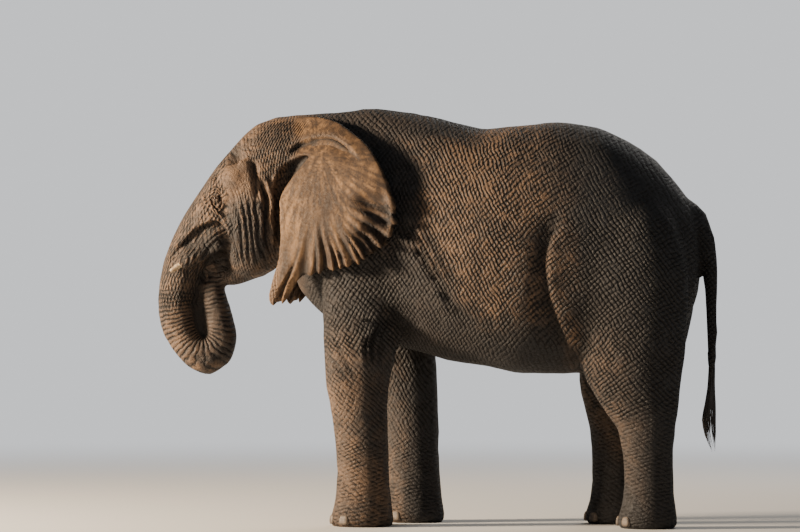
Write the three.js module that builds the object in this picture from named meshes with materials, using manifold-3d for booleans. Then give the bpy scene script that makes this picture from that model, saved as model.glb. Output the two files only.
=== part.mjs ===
// African savanna elephant, an adult bull, life size in millimetres and +Z up.
// It stands with its trunk curled up to its mouth. -X is forward, -Y is its left, and its four
// soles rest on one level. Each stretch of the body is a sweep through named stations. Trunk,
// jaw, legs and tail are sweeps of their own, and the trunk of the body is several sweeps
// joined into one and parted again by thin cuts.
import * as THREE from "three";
import { mergeVertices } from "three/addons/utils/BufferGeometryUtils.js";
import Module from "manifold-3d";

const wasm = await Module();
wasm.setup();

// ---- driving dimensions ----
const GAP = 0.3; // clearance between neighbouring pieces
const SIDES = { left: -1, right: 1 };

const LEG_SPACING = 330; // from the mid-plane to the middle of a leg
const FORE_STRIDE = { left: 0, right: 300 }; // how far back each forefoot stands
const HIND_STRIDE = { left: 0, right: -310 }; // the right hind foot stands ahead of the left one

const NECK_CUT = { head: -985, torso: -660 }; // where the neck meets the head and the torso
const SHOULDER = { low: [-790, 305, 1340], high: [40, 900, 2380] }; // box that holds a shoulder
const THIGH = { low: [1120, 330, 1170], high: [2300, 900, 2150] }; // box that holds a thigh

const EYE = { x: -1522, y: 318, z: 2526, radius: 23 };

const NAIL = { deep: 26, wide: 37, tall: 43, height: 56, sunk: 8 }; // height is above the sole
const FORE_NAIL_ANGLES = [-60, -20, 20, 60]; // degrees round the foot from straight ahead
const HIND_NAIL_ANGLES = [-46, 0, 46];

// ---- materials ----
const material = (name, color, roughness) => new THREE.MeshStandardMaterial({ name, color, roughness });
const hide = material("hide", 0x5f4e42, 0.85);
const earHide = material("ear_hide", 0x7c6450, 0.8);
const ivory = material("ivory", 0xd8cbb0, 0.35);
const horn = material("horn", 0x8a7a66, 0.55);
const cornea = material("cornea", 0x1d120b, 0.1);
const tailHair = material("tail_hair", 0x17130f, 0.6);

// ---- sweeps ----
// A station is the middle of a section, x, y and z, with its reach to the front, to the back
// and to each side, and how square its front and back halves are: 2 is an ellipse.
// Sections lie across the path, or all face one way where a facing direction is given.
const ROUND = 2;
const FORWARD = new THREE.Vector3(-1, 0, 0);
const DOWN = new THREE.Vector3(0, 0, -1);
const ACROSS = new THREE.Vector3(0, 1, 0);

const curveThrough = (points) => new THREE.CatmullRomCurve3(points, false, "catmullrom", 0.5);

const superEllipse = (value, squareness) => Math.sign(value) * Math.abs(value) ** (2 / squareness);

// Gives the section at t, as its middle, its axes and a function for a point round it.
function sectionsOf(stations, facing) {
  const path = curveThrough(stations.map((s) => new THREE.Vector3(s.x, s.y ?? 0, s.z)));
  const reach = curveThrough(stations.map((s) => new THREE.Vector3(s.front, s.back, s.side)));
  const square = curveThrough(
    stations.map((s) => new THREE.Vector3(s.squareFront ?? ROUND, s.squareBack ?? ROUND, 0)),
  );
  return (t) => {
    const along = facing ?? path.getTangent(t);
    const side = ACROSS.clone().addScaledVector(along, -ACROSS.dot(along)).normalize();
    const front = new THREE.Vector3().crossVectors(side, along);
    const size = reach.getPoint(t);
    const squareness = square.getPoint(t);
    const middle = path.getPoint(t);
    const rim = (angle, share, grow) => {
      const ahead = Math.cos(angle) >= 0;
      const power = ahead ? squareness.x : squareness.y;
      const length = (ahead ? size.x : size.y) + grow;
      return middle
        .clone()
        .addScaledVector(front, superEllipse(Math.cos(angle), power) * length * share)
        .addScaledVector(side, superEllipse(Math.sin(angle), power) * (size.z + grow) * share);
    };
    return { along, rim };
  };
}

// A closed body through the stations, from the first station to the last one asked for. It is a
// closed cylinder whose vertices move onto the sections. It may be grown all round, and its
// first end may start late, to leave a gap to the piece before it.
function sweep(stations, options) {
  const { sides, perStation = 2, facing, first = 0, last = stations.length - 1, grow = 0, late = 0 } = options;
  const section = sectionsOf(stations, facing);
  const geometry = new THREE.CylinderGeometry(1, 1, 1, sides, (last - first) * perStation);
  const position = geometry.attributes.position;
  for (let i = 0; i < position.count; i++) {
    const [x, z] = [position.getX(i), position.getZ(i)];
    const share = THREE.MathUtils.clamp(position.getY(i) + 0.5, 0, 1);
    const t = (first + share * (last - first)) / (stations.length - 1);
    const { along, rim } = section(t);
    const point = rim(Math.atan2(x, z), Math.hypot(x, z), grow);
    if (share === 0) point.addScaledVector(along, late - grow);
    if (share === 1) point.addScaledVector(along, grow);
    position.setXYZ(i, ...point);
  }
  return solid(geometry);
}

function ellipsoid(centre, reach, turn = 0, segments = [10, 5]) {
  const geometry = new THREE.SphereGeometry(1, ...segments);
  geometry.scale(...reach).rotateZ(turn).translate(...centre);
  return solid(geometry);
}

function block(low, high) {
  const geometry = new THREE.BoxGeometry(...high.map((h, i) => h - low[i]));
  geometry.translate(...high.map((h, i) => (h + low[i]) / 2));
  return solid(geometry);
}

function solid(geometry) {
  const bare = geometry.clone();
  bare.deleteAttribute("normal");
  bare.deleteAttribute("uv");
  const merged = mergeVertices(bare, 1e-3);
  return new wasm.Manifold(
    new wasm.Mesh({
      numProp: 3,
      vertProperties: new Float32Array(merged.attributes.position.array),
      triVerts: new Uint32Array(merged.index.array),
    }),
  );
}

const join = (bodies) => bodies.reduce((whole, body) => whole.add(body));
const onSide = (stations, sign) => stations.map((s) => ({ ...s, y: sign * s.y }));

// ---- stations of the trunk of the body ----
const BARREL = [
  { x: 2122, z: 2090, front: 110, back: 120, side: 90 }, // end of the rump
  { x: 2100, z: 2080, front: 320, back: 280, side: 240 },
  { x: 2035, z: 2070, front: 438, back: 460, side: 345 },
  { x: 1925, z: 2090, front: 572, back: 640, side: 450, squareFront: 1.9 },
  { x: 1775, z: 2110, front: 722, back: 810, side: 535, squareFront: 1.85 },
  { x: 1600, z: 2110, front: 840, back: 885, side: 600, squareFront: 1.85 }, // hips
  { x: 1350, z: 2060, front: 1010, back: 855, side: 640, squareFront: 1.85, squareBack: 2.2 },
  { x: 1060, z: 1990, front: 1118, back: 790, side: 695, squareFront: 1.9, squareBack: 2.3 }, // loins
  { x: 760, z: 1960, front: 1124, back: 760, side: 720, squareFront: 1.95, squareBack: 2.3 },
  { x: 480, z: 1960, front: 1086, back: 705, side: 708, squareBack: 2.2 }, // saddle
  { x: 200, z: 1990, front: 1135, back: 695, side: 660, squareBack: 2.1 },
  { x: -80, z: 2050, front: 1130, back: 670, side: 590, squareFront: 1.9 },
  { x: -350, z: 2120, front: 1102, back: 670, side: 530, squareFront: 1.8 }, // withers
  { x: -600, z: 2160, front: 1036, back: 630, side: 465, squareFront: 1.8 },
  { x: -800, z: 2180, front: 860, back: 500, side: 390, squareFront: 1.9 },
  { x: -925, z: 2150, front: 560, back: 330, side: 280 },
  { x: -975, z: 2120, front: 190, back: 130, side: 90 }, // breast
];
const NECK = [
  { x: -400, z: 2420, front: 778, back: 740, side: 440, squareFront: 1.8 },
  { x: -620, z: 2430, front: 760, back: 700, side: 430, squareFront: 1.8 },
  { x: -830, z: 2450, front: 730, back: 610, side: 405, squareFront: 1.85 },
  { x: -1010, z: 2480, front: 683, back: 520, side: 372, squareFront: 1.9 },
  { x: -1170, z: 2510, front: 585, back: 440, side: 330 },
];

// ---- stations of the head and trunk: down the face, round the curl and up to the mouth ----
const FACE_AND_TRUNK = [
  { x: -850, z: 2740, front: 330, back: 250, side: 260 }, // back of the skull
  { x: -985, z: 2765, front: 385, back: 330, side: 330, squareFront: 2.1 },
  { x: -1135, z: 2745, front: 372, back: 370, side: 352, squareFront: 2.2 }, // crown
  { x: -1311, z: 2652, front: 282, back: 320, side: 350, squareFront: 2.3 }, // forehead
  { x: -1503, z: 2454, front: 240, back: 250, side: 328, squareFront: 2.2 }, // between the eyes
  { x: -1678, z: 2225, front: 216, back: 178, side: 262, squareFront: 2.3 },
  { x: -1822, z: 1985, front: 178, back: 124, side: 185 }, // root of the trunk
  { x: -1882, z: 1753, front: 153, back: 122, side: 160 },
  { x: -1852, z: 1556, front: 158, back: 118, side: 150 },
  { x: -1775, z: 1408, front: 137, back: 102, side: 143 },
  { x: -1650, z: 1322, front: 158, back: 130, side: 136 }, // foot of the curl
  { x: -1545, z: 1415, front: 124, back: 112, side: 122 },
  { x: -1556, z: 1560, front: 110, back: 106, side: 108 },
  { x: -1588, z: 1700, front: 104, back: 98, side: 100 },
  { x: -1620, z: 1825, front: 98, back: 94, side: 96 },
  { x: -1636, z: 1892, front: 86, back: 82, side: 88 }, // tip
];
const TRUNK_ROOT = 6; // the station where the trunk starts
const TRUNK_CUTS = [6, 7, 8, 10, 12, 15]; // its lengths run between these stations
const TIP_FINGERS = [
  { x: -1712, z: 1908, reach: [24, 46, 34] },
  { x: -1580, z: 1902, reach: [22, 40, 26] },
];

// ---- stations of the cheek and jaw, on the left and the right ----
const CHEEK = [
  { x: -1225, y: 170, z: 2840, front: 60, back: 60, side: 50 },
  { x: -1240, y: 190, z: 2770, front: 150, back: 140, side: 135 }, // temple
  { x: -1262, y: 208, z: 2640, front: 195, back: 195, side: 180 },
  { x: -1275, y: 212, z: 2440, front: 215, back: 225, side: 195 }, // cheekbone
  { x: -1285, y: 190, z: 2240, front: 205, back: 230, side: 182 },
  { x: -1290, y: 150, z: 2090, front: 180, back: 205, side: 160 }, // angle of the jaw
  { x: -1300, y: 115, z: 1990, front: 140, back: 150, side: 125 },
  { x: -1310, y: 90, z: 1930, front: 70, back: 70, side: 70 },
];
const LOWER_JAW = [
  { x: -1130, z: 2080, front: 120, back: 90, side: 150 },
  { x: -1230, z: 2050, front: 130, back: 112, side: 190 },
  { x: -1340, z: 2000, front: 112, back: 106, side: 175 },
  { x: -1430, z: 1950, front: 82, back: 82, side: 128 },
  { x: -1488, z: 1912, front: 50, back: 50, side: 82 },
  { x: -1512, z: 1896, front: 20, back: 22, side: 40 }, // tip of the lower lip
];
const BROW = { x: -1478, y: 248, z: 2590, reach: [140, 80, 62] };
const CHEEKBONE = { x: -1372, y: 288, z: 2600, reach: [140, 88, 150] };
const SOCKET = [
  { x: -1420, y: 222, z: 2330, front: 90, back: 90, side: 80 },
  { x: -1560, y: 232, z: 2225, front: 110, back: 105, side: 90 },
  { x: -1690, y: 224, z: 2125, front: 92, back: 90, side: 78 },
  { x: -1790, y: 220, z: 2045, front: 68, back: 66, side: 58 },
  { x: -1832, y: 220, z: 2012, front: 44, back: 44, side: 42 },
];
const TUSK = [
  { x: -1660, y: 224, z: 2148, front: 12, back: 12, side: 12 },
  { x: -1690, y: 223, z: 2125, front: 28, back: 28, side: 28 },
  { x: -1800, y: 220, z: 2040, front: 28, back: 28, side: 28 },
  { x: -1866, y: 222, z: 1992, front: 25, back: 25, side: 25 },
  { x: -1896, y: 224, z: 1972, front: 16, back: 16, side: 16 }, // worn tip
  { x: -1904, y: 224, z: 1968, front: 7, back: 7, side: 7 },
];

// ---- stations of the legs: stride is the share of the stride that a station takes ----
const FORELEG = [
  { x: -330, y: 60, z: 2620, front: 150, back: 150, side: 60, stride: 0 },
  { x: -370, y: 60, z: 2350, front: 300, back: 270, side: 150, stride: 0 }, // shoulder blade
  { x: -410, y: 30, z: 2000, front: 315, back: 330, side: 200, stride: 0.1 },
  { x: -405, y: 15, z: 1700, front: 305, back: 330, side: 222, stride: 0.3 }, // upper arm
  { x: -415, y: 5, z: 1340, front: 285, back: 268, side: 215, stride: 0.72 }, // elbow
  { x: -432, y: 0, z: 1146, front: 252, back: 230, side: 198, stride: 0.92 }, // forearm
  { x: -430, y: 0, z: 930, front: 215, back: 212, side: 182, stride: 1 },
  { x: -410, y: 0, z: 696, front: 203, back: 200, side: 178, stride: 1 }, // wrist
  { x: -398, y: 0, z: 455, front: 198, back: 193, side: 180, stride: 1 },
  { x: -395, y: 0, z: 222, front: 218, back: 210, side: 200, stride: 1 }, // ankle
  { x: -398, y: 0, z: 120, front: 246, back: 228, side: 226, stride: 1 },
  { x: -398, y: 0, z: 66, front: 250, back: 232, side: 230, stride: 1 },
  { x: -396, y: 0, z: 45, front: 236, back: 220, side: 217, stride: 1 }, // sole
];
const FORELEG_CUTS = { elbow: 4, wrist: 7, ankle: 9 };
const HIND_LEG = [
  { x: 1570, y: -60, z: 2680, front: 170, back: 170, side: 90, stride: 0 },
  { x: 1590, y: 55, z: 2350, front: 370, back: 380, side: 205, stride: 0 }, // hip
  { x: 1605, y: 75, z: 1980, front: 478, back: 475, side: 246, stride: 0 },
  { x: 1625, y: 55, z: 1680, front: 468, back: 440, side: 252, stride: 0.05 }, // thigh
  { x: 1655, y: 35, z: 1400, front: 412, back: 400, side: 240, stride: 0.2 },
  { x: 1680, y: 15, z: 1170, front: 392, back: 338, side: 218, stride: 0.4 }, // groin
  { x: 1722, y: 0, z: 966, front: 312, back: 270, side: 196, stride: 0.65 }, // knee
  { x: 1752, y: -5, z: 792, front: 218, back: 212, side: 176, stride: 0.9 },
  { x: 1765, y: -10, z: 580, front: 183, back: 186, side: 165, stride: 1 }, // hock
  { x: 1768, y: -10, z: 360, front: 182, back: 182, side: 165, stride: 1 },
  { x: 1768, y: -10, z: 206, front: 205, back: 196, side: 182, stride: 1 }, // ankle
  { x: 1766, y: -10, z: 112, front: 232, back: 214, side: 200, stride: 1 },
  { x: 1766, y: -10, z: 64, front: 235, back: 216, side: 203, stride: 1 },
  { x: 1768, y: -10, z: 45, front: 222, back: 205, side: 192, stride: 1 }, // sole
];
const HIND_LEG_CUTS = { groin: 5, hock: 8, ankle: 10 };

// ---- stations of the tail ----
const TAIL = [
  { x: 2010, z: 2440, front: 80, back: 100, side: 100 },
  { x: 2092, z: 2360, front: 110, back: 95, side: 110 }, // root
  { x: 2175, z: 2215, front: 92, back: 62, side: 88 },
  { x: 2208, z: 2030, front: 66, back: 50, side: 62 },
  { x: 2216, z: 1800, front: 48, back: 46, side: 48 },
  { x: 2218, z: 1500, front: 36, back: 36, side: 37 },
  { x: 2214, z: 1250, front: 26, back: 26, side: 28 },
  { x: 2212, z: 1110, front: 22, back: 22, side: 24 }, // where the hair starts
  { x: 2206, z: 1000, front: 38, back: 34, side: 34 },
  { x: 2192, z: 860, front: 58, back: 58, side: 42 },
  { x: 2200, z: 740, front: 48, back: 60, side: 38 },
  { x: 2228, z: 640, front: 32, back: 38, side: 26 },
  { x: 2252, z: 585, front: 8, back: 10, side: 8 },
];
const TAIL_CUTS = { hair: 7 };

// ---- ear: a thin shell round its middle, given by its outline in the side view ----
const EAR_MIDDLE = { x: -620, z: 2500 };
const EAR_OUTLINE = [
  [-1010, 3105], // top of the root
  [-846, 3164],
  [-586, 3112],
  [-388, 3015],
  [-221, 2835],
  [-122, 2565],
  [-88, 2377],
  [-109, 2295], // rear corner
  [-279, 2105],
  [-502, 1988],
  [-712, 1948],
  [-904, 1862],
  [-995, 1750],
  [-1079, 1722], // end of the front lobe
  [-1120, 1848],
  [-1052, 2150],
  [-1030, 2480],
  [-1075, 2640], // bottom of the root
  [-1110, 2800],
  [-1100, 2980],
];
// How far out from the mid-plane its front edge lies, at even heights from the lobe to the top.
const EAR_ROOT = { low: 1700, high: 3170, out: [365, 412, 422, 395, 335, 285, 200, 50] };
const EAR = {
  front: -1040, // where it starts to flare, and where the flare ends
  rear: -100,
  flare: 295,
  pleats: 4.5,
  pleatDepth: 16,
  thick: 17, // half the thickness at the middle
  rim: 9, // and near the rim
};
const earRoot = curveThrough(EAR_ROOT.out.map((out) => new THREE.Vector3(out, 0, 0)));

// How far the outline lies from the ear's middle, at an angle round it.
function earReach() {
  const points = EAR_OUTLINE.map(([x, z]) => new THREE.Vector3(x - EAR_MIDDLE.x, z - EAR_MIDDLE.z, 0));
  const rim = new THREE.CatmullRomCurve3(points, true, "catmullrom", 0.5);
  const samples = rim.getPoints(900).map((p) => ({ angle: Math.atan2(p.y, p.x), reach: p.length() }));
  return (angle) => {
    const turnTo = (s) => Math.abs(Math.atan2(Math.sin(s.angle - angle), Math.cos(s.angle - angle)));
    return samples.reduce((best, s) => (turnTo(s) < turnTo(best) ? s : best)).reach;
  };
}

// How far out from the mid-plane the ear lies, at a place in the side view.
function earOut(x, z, angle, share) {
  const { smoothstep, clamp } = THREE.MathUtils;
  const root = earRoot.getPoint(clamp((z - EAR_ROOT.low) / (EAR_ROOT.high - EAR_ROOT.low), 0, 1)).x;
  const back = clamp((x - EAR.front) / (EAR.rear - EAR.front), 0, 1);
  const flare = EAR.flare * Math.sin((back * Math.PI) / 2) ** 1.1;
  const lower = smoothstep(-angle, 0.1, 0.6) * (1 - smoothstep(-angle, 1.7, 2.2));
  const pleat = EAR.pleatDepth * Math.sin(angle * 2 * EAR.pleats) * lower * share ** 3;
  return root + flare + pleat;
}

function ear(sign) {
  const reachAt = earReach();
  const geometry = new THREE.SphereGeometry(1, 36, 8);
  const position = geometry.attributes.position;
  for (let i = 0; i < position.count; i++) {
    const face = position.getY(i); // the poles of the sphere become the faces of the ear
    const [a, b] = [position.getX(i), sign * position.getZ(i)];
    const angle = Math.atan2(b, a);
    const share = Math.acos(Math.min(1, Math.abs(face))) / (Math.PI / 2);
    const reach = reachAt(angle) * share;
    const [x, z] = [EAR_MIDDLE.x + reach * Math.cos(angle), EAR_MIDDLE.z + reach * Math.sin(angle)];
    const half = Math.abs(face) < 1e-6 ? 0 : EAR.rim + (EAR.thick - EAR.rim) * Math.cos((share * Math.PI) / 2);
    position.setXYZ(i, x, sign * (earOut(x, z, angle, share) + half * Math.sign(face)), z);
  }
  return solid(geometry);
}

// ---- bodies ----
const FACE = { sides: 16 };
const face = (grow) => sweep(FACE_AND_TRUNK, { ...FACE, last: TRUNK_ROOT, grow });
const barrel = (grow) => sweep(BARREL, { sides: 24, perStation: 1, facing: FORWARD, grow });
const lowerJaw = (grow) => sweep(LOWER_JAW, { sides: 12, perStation: 1, facing: FORWARD, grow });
const neck = (grow) => sweep(NECK, { sides: 18, perStation: 1, facing: FORWARD, grow });
const cheek = (sign, grow) => sweep(onSide(CHEEK, sign), { sides: 10, perStation: 1, facing: DOWN, grow });
const socket = (sign) => sweep(onSide(SOCKET, sign), { sides: 8, perStation: 1 });
const tusk = (sign, grow) => sweep(onSide(TUSK, sign), { sides: 8, perStation: 1, grow });
const lump = (at, sign, grow) => ellipsoid([at.x, sign * at.y, at.z], at.reach.map((r) => r + grow));

const headBodies = (grow) => [
  face(grow),
  neck(grow),
  ...Object.values(SIDES).flatMap((sign) => [cheek(sign, grow), lump(BROW, sign, grow), lump(CHEEKBONE, sign, grow)]),
];

function legStations(stations, side, strides) {
  const sign = SIDES[side];
  return stations.map((s) => ({ ...s, x: s.x + strides[side] * s.stride, y: sign * (LEG_SPACING + s.y) }));
}

// ---- nodes ----
const elephant = new THREE.Group();

function addNode(name, body, finish) {
  const mesh = body.decompose().reduce((a, b) => (b.volume() > a.volume() ? b : a)).getMesh();
  const geometry = new THREE.BufferGeometry();
  geometry.setAttribute("position", new THREE.BufferAttribute(new Float32Array(mesh.vertProperties), 3));
  geometry.setIndex(new THREE.BufferAttribute(new Uint32Array(mesh.triVerts), 1));
  geometry.computeVertexNormals();
  const node = new THREE.Mesh(geometry, finish);
  node.name = name;
  elephant.add(node);
}

// Nails stand in the front of a foot, each let into it.
function addNails(footName, foot, sole, reach, angles) {
  let rest = foot;
  const [deep, across] = [reach.front - NAIL.sunk, reach.side - NAIL.sunk];
  angles.forEach((degrees, i) => {
    const angle = THREE.MathUtils.degToRad(degrees);
    const centre = [sole.x - deep * Math.cos(angle), sole.y - across * Math.sin(angle), sole.z + NAIL.height];
    const shaped = (grow) => ellipsoid(centre, [NAIL.deep + grow, NAIL.wide + grow, NAIL.tall + grow], angle, [6, 4]);
    addNode(`${footName}_nail_${i + 1}`, shaped(0), horn);
    rest = rest.subtract(shaped(GAP));
  });
  addNode(footName, rest, hide);
}

// The free lengths of a leg hang below the torso, one after the other, down to the foot.
function addLeg(stations, lengths, footName, angles) {
  const shared = { sides: 14, perStation: 1, facing: DOWN, late: GAP };
  for (const [name, first, last] of lengths) {
    addNode(name, sweep(stations, { ...shared, first, last }), hide);
  }
  const first = lengths.at(-1)[2];
  const foot = sweep(stations, { ...shared, first });
  addNails(footName, foot, stations.at(-1), stations.at(-3), angles);
}

let torso = barrel(0);
for (const [side, sign] of Object.entries(SIDES)) {
  const fore = legStations(FORELEG, side, FORE_STRIDE);
  const hind = legStations(HIND_LEG, side, HIND_STRIDE);
  const { elbow, wrist, ankle } = FORELEG_CUTS;
  addLeg(
    fore,
    [
      [`forearm_${side}`, elbow, wrist],
      [`fore_shin_${side}`, wrist, ankle],
    ],
    `forefoot_${side}`,
    FORE_NAIL_ANGLES.map((angle) => -sign * angle),
  );
  addLeg(
    hind,
    [
      [`knee_${side}`, HIND_LEG_CUTS.groin, HIND_LEG_CUTS.hock],
      [`hind_shin_${side}`, HIND_LEG_CUTS.hock, HIND_LEG_CUTS.ankle],
    ],
    `hind_foot_${side}`,
    HIND_NAIL_ANGLES.map((angle) => -sign * angle),
  );
  torso = torso.add(sweep(fore, { sides: 14, perStation: 1, facing: DOWN, last: elbow }));
  torso = torso.add(sweep(hind, { sides: 14, perStation: 1, facing: DOWN, last: HIND_LEG_CUTS.groin }));
}

// trunk, in lengths that follow one another round the curl
TRUNK_CUTS.slice(1).forEach((last, i) => {
  let length = sweep(FACE_AND_TRUNK, { ...FACE, first: TRUNK_CUTS[i], last, late: GAP });
  if (last === FACE_AND_TRUNK.length - 1) {
    length = join([length, ...TIP_FINGERS.map((f) => ellipsoid([f.x, 0, f.z], f.reach, 0, [6, 4]))]);
  }
  addNode(`trunk_${i + 1}`, length, hide);
});
const trunkRoot = sweep(FACE_AND_TRUNK, { ...FACE, first: TRUNK_ROOT, last: TRUNK_ROOT + 2, grow: GAP });

// tail, with its hair below
const tailRoot = (grow) => sweep(TAIL, { sides: 9, perStation: 1, last: TAIL_CUTS.hair, grow });
addNode("tail", tailRoot(0), hide);
addNode("tail_hair", sweep(TAIL, { sides: 9, perStation: 1, first: TAIL_CUTS.hair, late: GAP }), tailHair);
torso = torso.subtract(tailRoot(GAP));

// head, with its eyes, tusks and lower jaw let into it
let body = join([torso, ...headBodies(0), socket(SIDES.left), socket(SIDES.right)]);
body = body.subtract(trunkRoot).subtract(lowerJaw(GAP));
addNode("lower_jaw", lowerJaw(0), hide);
for (const [side, sign] of Object.entries(SIDES)) {
  const eyeball = (grow) => ellipsoid([EYE.x, sign * EYE.y, EYE.z], Array(3).fill(EYE.radius + grow), 0, [8, 5]);
  addNode(`eye_${side}`, eyeball(0), cornea);
  addNode(`tusk_${side}`, tusk(sign, 0), ivory);
  body = body.subtract(eyeball(GAP)).subtract(tusk(sign, GAP));
}

// thin cuts part what is joined
const FAR = 4000;
const take = (name, low, high) => {
  addNode(name, body.intersect(block(low, high)), hide);
  body = body.subtract(block(low.map((v) => v - GAP), high.map((v) => v + GAP)));
};
take("head", [-FAR, -FAR, 0], [NECK_CUT.head, FAR, FAR]);
take("neck", [-FAR, -FAR, 0], [NECK_CUT.torso, FAR, FAR]);
for (const [side, sign] of Object.entries(SIDES)) {
  for (const [name, box] of [["shoulder", SHOULDER], ["thigh", THIGH]]) {
    const ys = [sign * box.low[1], sign * box.high[1]].sort((a, b) => a - b);
    take(`${name}_${side}`, [box.low[0], ys[0], box.low[2]], [box.high[0], ys[1], box.high[2]]);
  }
}
addNode("torso", body, hide);

// ears, whose roots lie against the head
const earRest = join([...headBodies(GAP), barrel(GAP)]);
for (const [side, sign] of Object.entries(SIDES)) {
  addNode(`ear_${side}`, ear(sign).subtract(earRest), earHide);
}

const bounds = new THREE.Box3().setFromObject(elephant);
const centre = bounds.getCenter(new THREE.Vector3());
elephant.position.set(-centre.x, -centre.y, -bounds.min.z);

export default elephant;
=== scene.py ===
"""A life-size African savanna elephant: one skin, with its eyes, tusks, nails and tail hair.

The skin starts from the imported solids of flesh. They are grown together and smoothed, the ears
are joined to them, and folds are pressed into the whole. Lengths are in metres. -X is forward,
-Y is the left side of the animal, and +Z is up.
"""

import logging
import math
import time
from collections.abc import Iterable, Sequence
from dataclasses import dataclass, field
from enum import Enum
from functools import reduce

import bmesh
import bpy
import numpy as np
from mathutils import Matrix, Vector


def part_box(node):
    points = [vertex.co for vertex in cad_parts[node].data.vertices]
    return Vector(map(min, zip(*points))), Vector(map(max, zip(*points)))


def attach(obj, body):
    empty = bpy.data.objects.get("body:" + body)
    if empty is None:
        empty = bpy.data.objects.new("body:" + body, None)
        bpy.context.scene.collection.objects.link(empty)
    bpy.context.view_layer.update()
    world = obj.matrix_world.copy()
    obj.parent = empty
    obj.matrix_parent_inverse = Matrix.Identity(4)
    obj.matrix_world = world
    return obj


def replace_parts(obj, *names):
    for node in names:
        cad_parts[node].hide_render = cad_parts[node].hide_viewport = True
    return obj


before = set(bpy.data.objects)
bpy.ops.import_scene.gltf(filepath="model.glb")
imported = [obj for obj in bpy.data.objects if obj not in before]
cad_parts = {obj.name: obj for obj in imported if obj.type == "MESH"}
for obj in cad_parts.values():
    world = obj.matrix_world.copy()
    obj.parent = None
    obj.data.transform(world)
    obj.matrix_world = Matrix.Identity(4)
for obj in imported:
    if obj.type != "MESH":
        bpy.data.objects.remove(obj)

log = logging.getLogger("elephant")
Point2 = tuple[float, float]
Point3 = tuple[float, float, float]
Colour = tuple[float, float, float]
STUDIO: Colour = (0.88, 0.90, 0.93)  # what lies round the floor


class Side(Enum):
    """The two sides of the animal, by the sign of Y."""

    LEFT = -1
    RIGHT = 1

    @property
    def label(self) -> str:
        """The side's name as the solids' names end in it."""
        return self.name.lower()


# ---- numbers and curves -------------------------------------------------------------------


def ramp(low: float, high: float, value: np.ndarray) -> np.ndarray:
    """Rises smoothly from 0 at low to 1 at high.

    Args:
        low: Where the rise starts.
        high: Where it ends. It may be less than low, for a fall.
        value: The values to look up.

    Returns:
        The share of the rise at each value.
    """
    share = np.clip((value - low) / (high - low), 0.0, 1.0)
    return share * share * (3 - 2 * share)


def band(low: float, high: float, soft: float, value: np.ndarray) -> np.ndarray:
    """Is 1 between low and high and falls to 0 over a soft edge outside them.

    Args:
        low: Lower end of the full band.
        high: Upper end of the full band.
        soft: Width of each edge.
        value: The values to look up.

    Returns:
        The height of the band at each value.
    """
    return ramp(low - soft, low, value) * ramp(high + soft, high, value)


def smooth_line(points: Sequence[Sequence[float]], count: int, closed: bool = False) -> np.ndarray:
    """Draws a Catmull-Rom curve through points.

    Args:
        points: The points the curve passes, in any number of dimensions.
        count: How many points come back.
        closed: Whether the curve joins its own start.

    Returns:
        Points at even steps of the curve's own parameter.
    """
    given = np.array(points, float)
    if closed:
        padded = np.concatenate([given[-1:], given, given[:2]])
        spans = len(given)
    else:
        padded = np.concatenate([2 * given[:1] - given[1:2], given, 2 * given[-1:] - given[-2:-1]])
        spans = len(given) - 1
    where = np.linspace(0, spans, count, endpoint=not closed)
    first = np.minimum(where.astype(int), spans - 1)
    t = (where - first)[:, None]
    a, b, c, d = (padded[first + step] for step in range(4))
    return 0.5 * (2 * b + (c - a) * t + (2 * a - 5 * b + 4 * c - d) * t**2 + (3 * b - a - 3 * c + d) * t**3)


@dataclass(frozen=True)
class Noise:
    """Smooth noise in space, a sum of seeded plane waves of about one length."""

    seed: int
    size: float
    waves: int = 16

    def at(self, points: np.ndarray) -> np.ndarray:
        """Gives values of about -1 to 1 at points.

        Args:
            points: The points, a row for each.

        Returns:
            The noise at each point.
        """
        rng = np.random.default_rng(self.seed)
        ways = rng.normal(size=(self.waves, points.shape[1]))
        ways /= np.linalg.norm(ways, axis=1, keepdims=True)
        lengths = self.size * rng.uniform(0.7, 1.5, self.waves)
        starts = rng.uniform(0, 2 * math.pi, self.waves)
        total = np.zeros(len(points))
        for way, length, start in zip(ways, lengths, starts):
            total += np.sin(points @ (way * 2 * math.pi / length) + start)
        return total / math.sqrt(self.waves)


SHORTEST_EDGE = 1e-4  # shorter ones count as this long
LEAST_FIRM = 0.002  # keeps places without wrinkles in the sum


def nearest(gaps: Iterable[np.ndarray], count: int) -> tuple[np.ndarray, np.ndarray]:
    """Finds the least of several distances at each point.

    Args:
        gaps: The distances of all the points, from one station after another.
        count: How many points there are.

    Returns:
        The least distance of each point, and the number of the station that it's from.
    """
    best, index = np.full(count, np.inf), np.zeros(count, int)
    for i, gap in enumerate(gaps):
        nearer = gap < best
        best[nearer] = gap[nearer]
        index[nearer] = i
    return best, index


def read_rows(items: Sequence[object], name: str, width: int, kind: type = np.float32) -> np.ndarray:
    """Reads one property of every point, edge or corner of a mesh.

    Args:
        items: The mesh's list of them.
        name: The property.
        width: How many numbers it has.
        kind: The type of the numbers.

    Returns:
        A row for each.
    """
    flat = np.empty(len(items) * width, kind)
    items.foreach_get(name, flat)
    return flat.reshape(-1, width)


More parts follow.
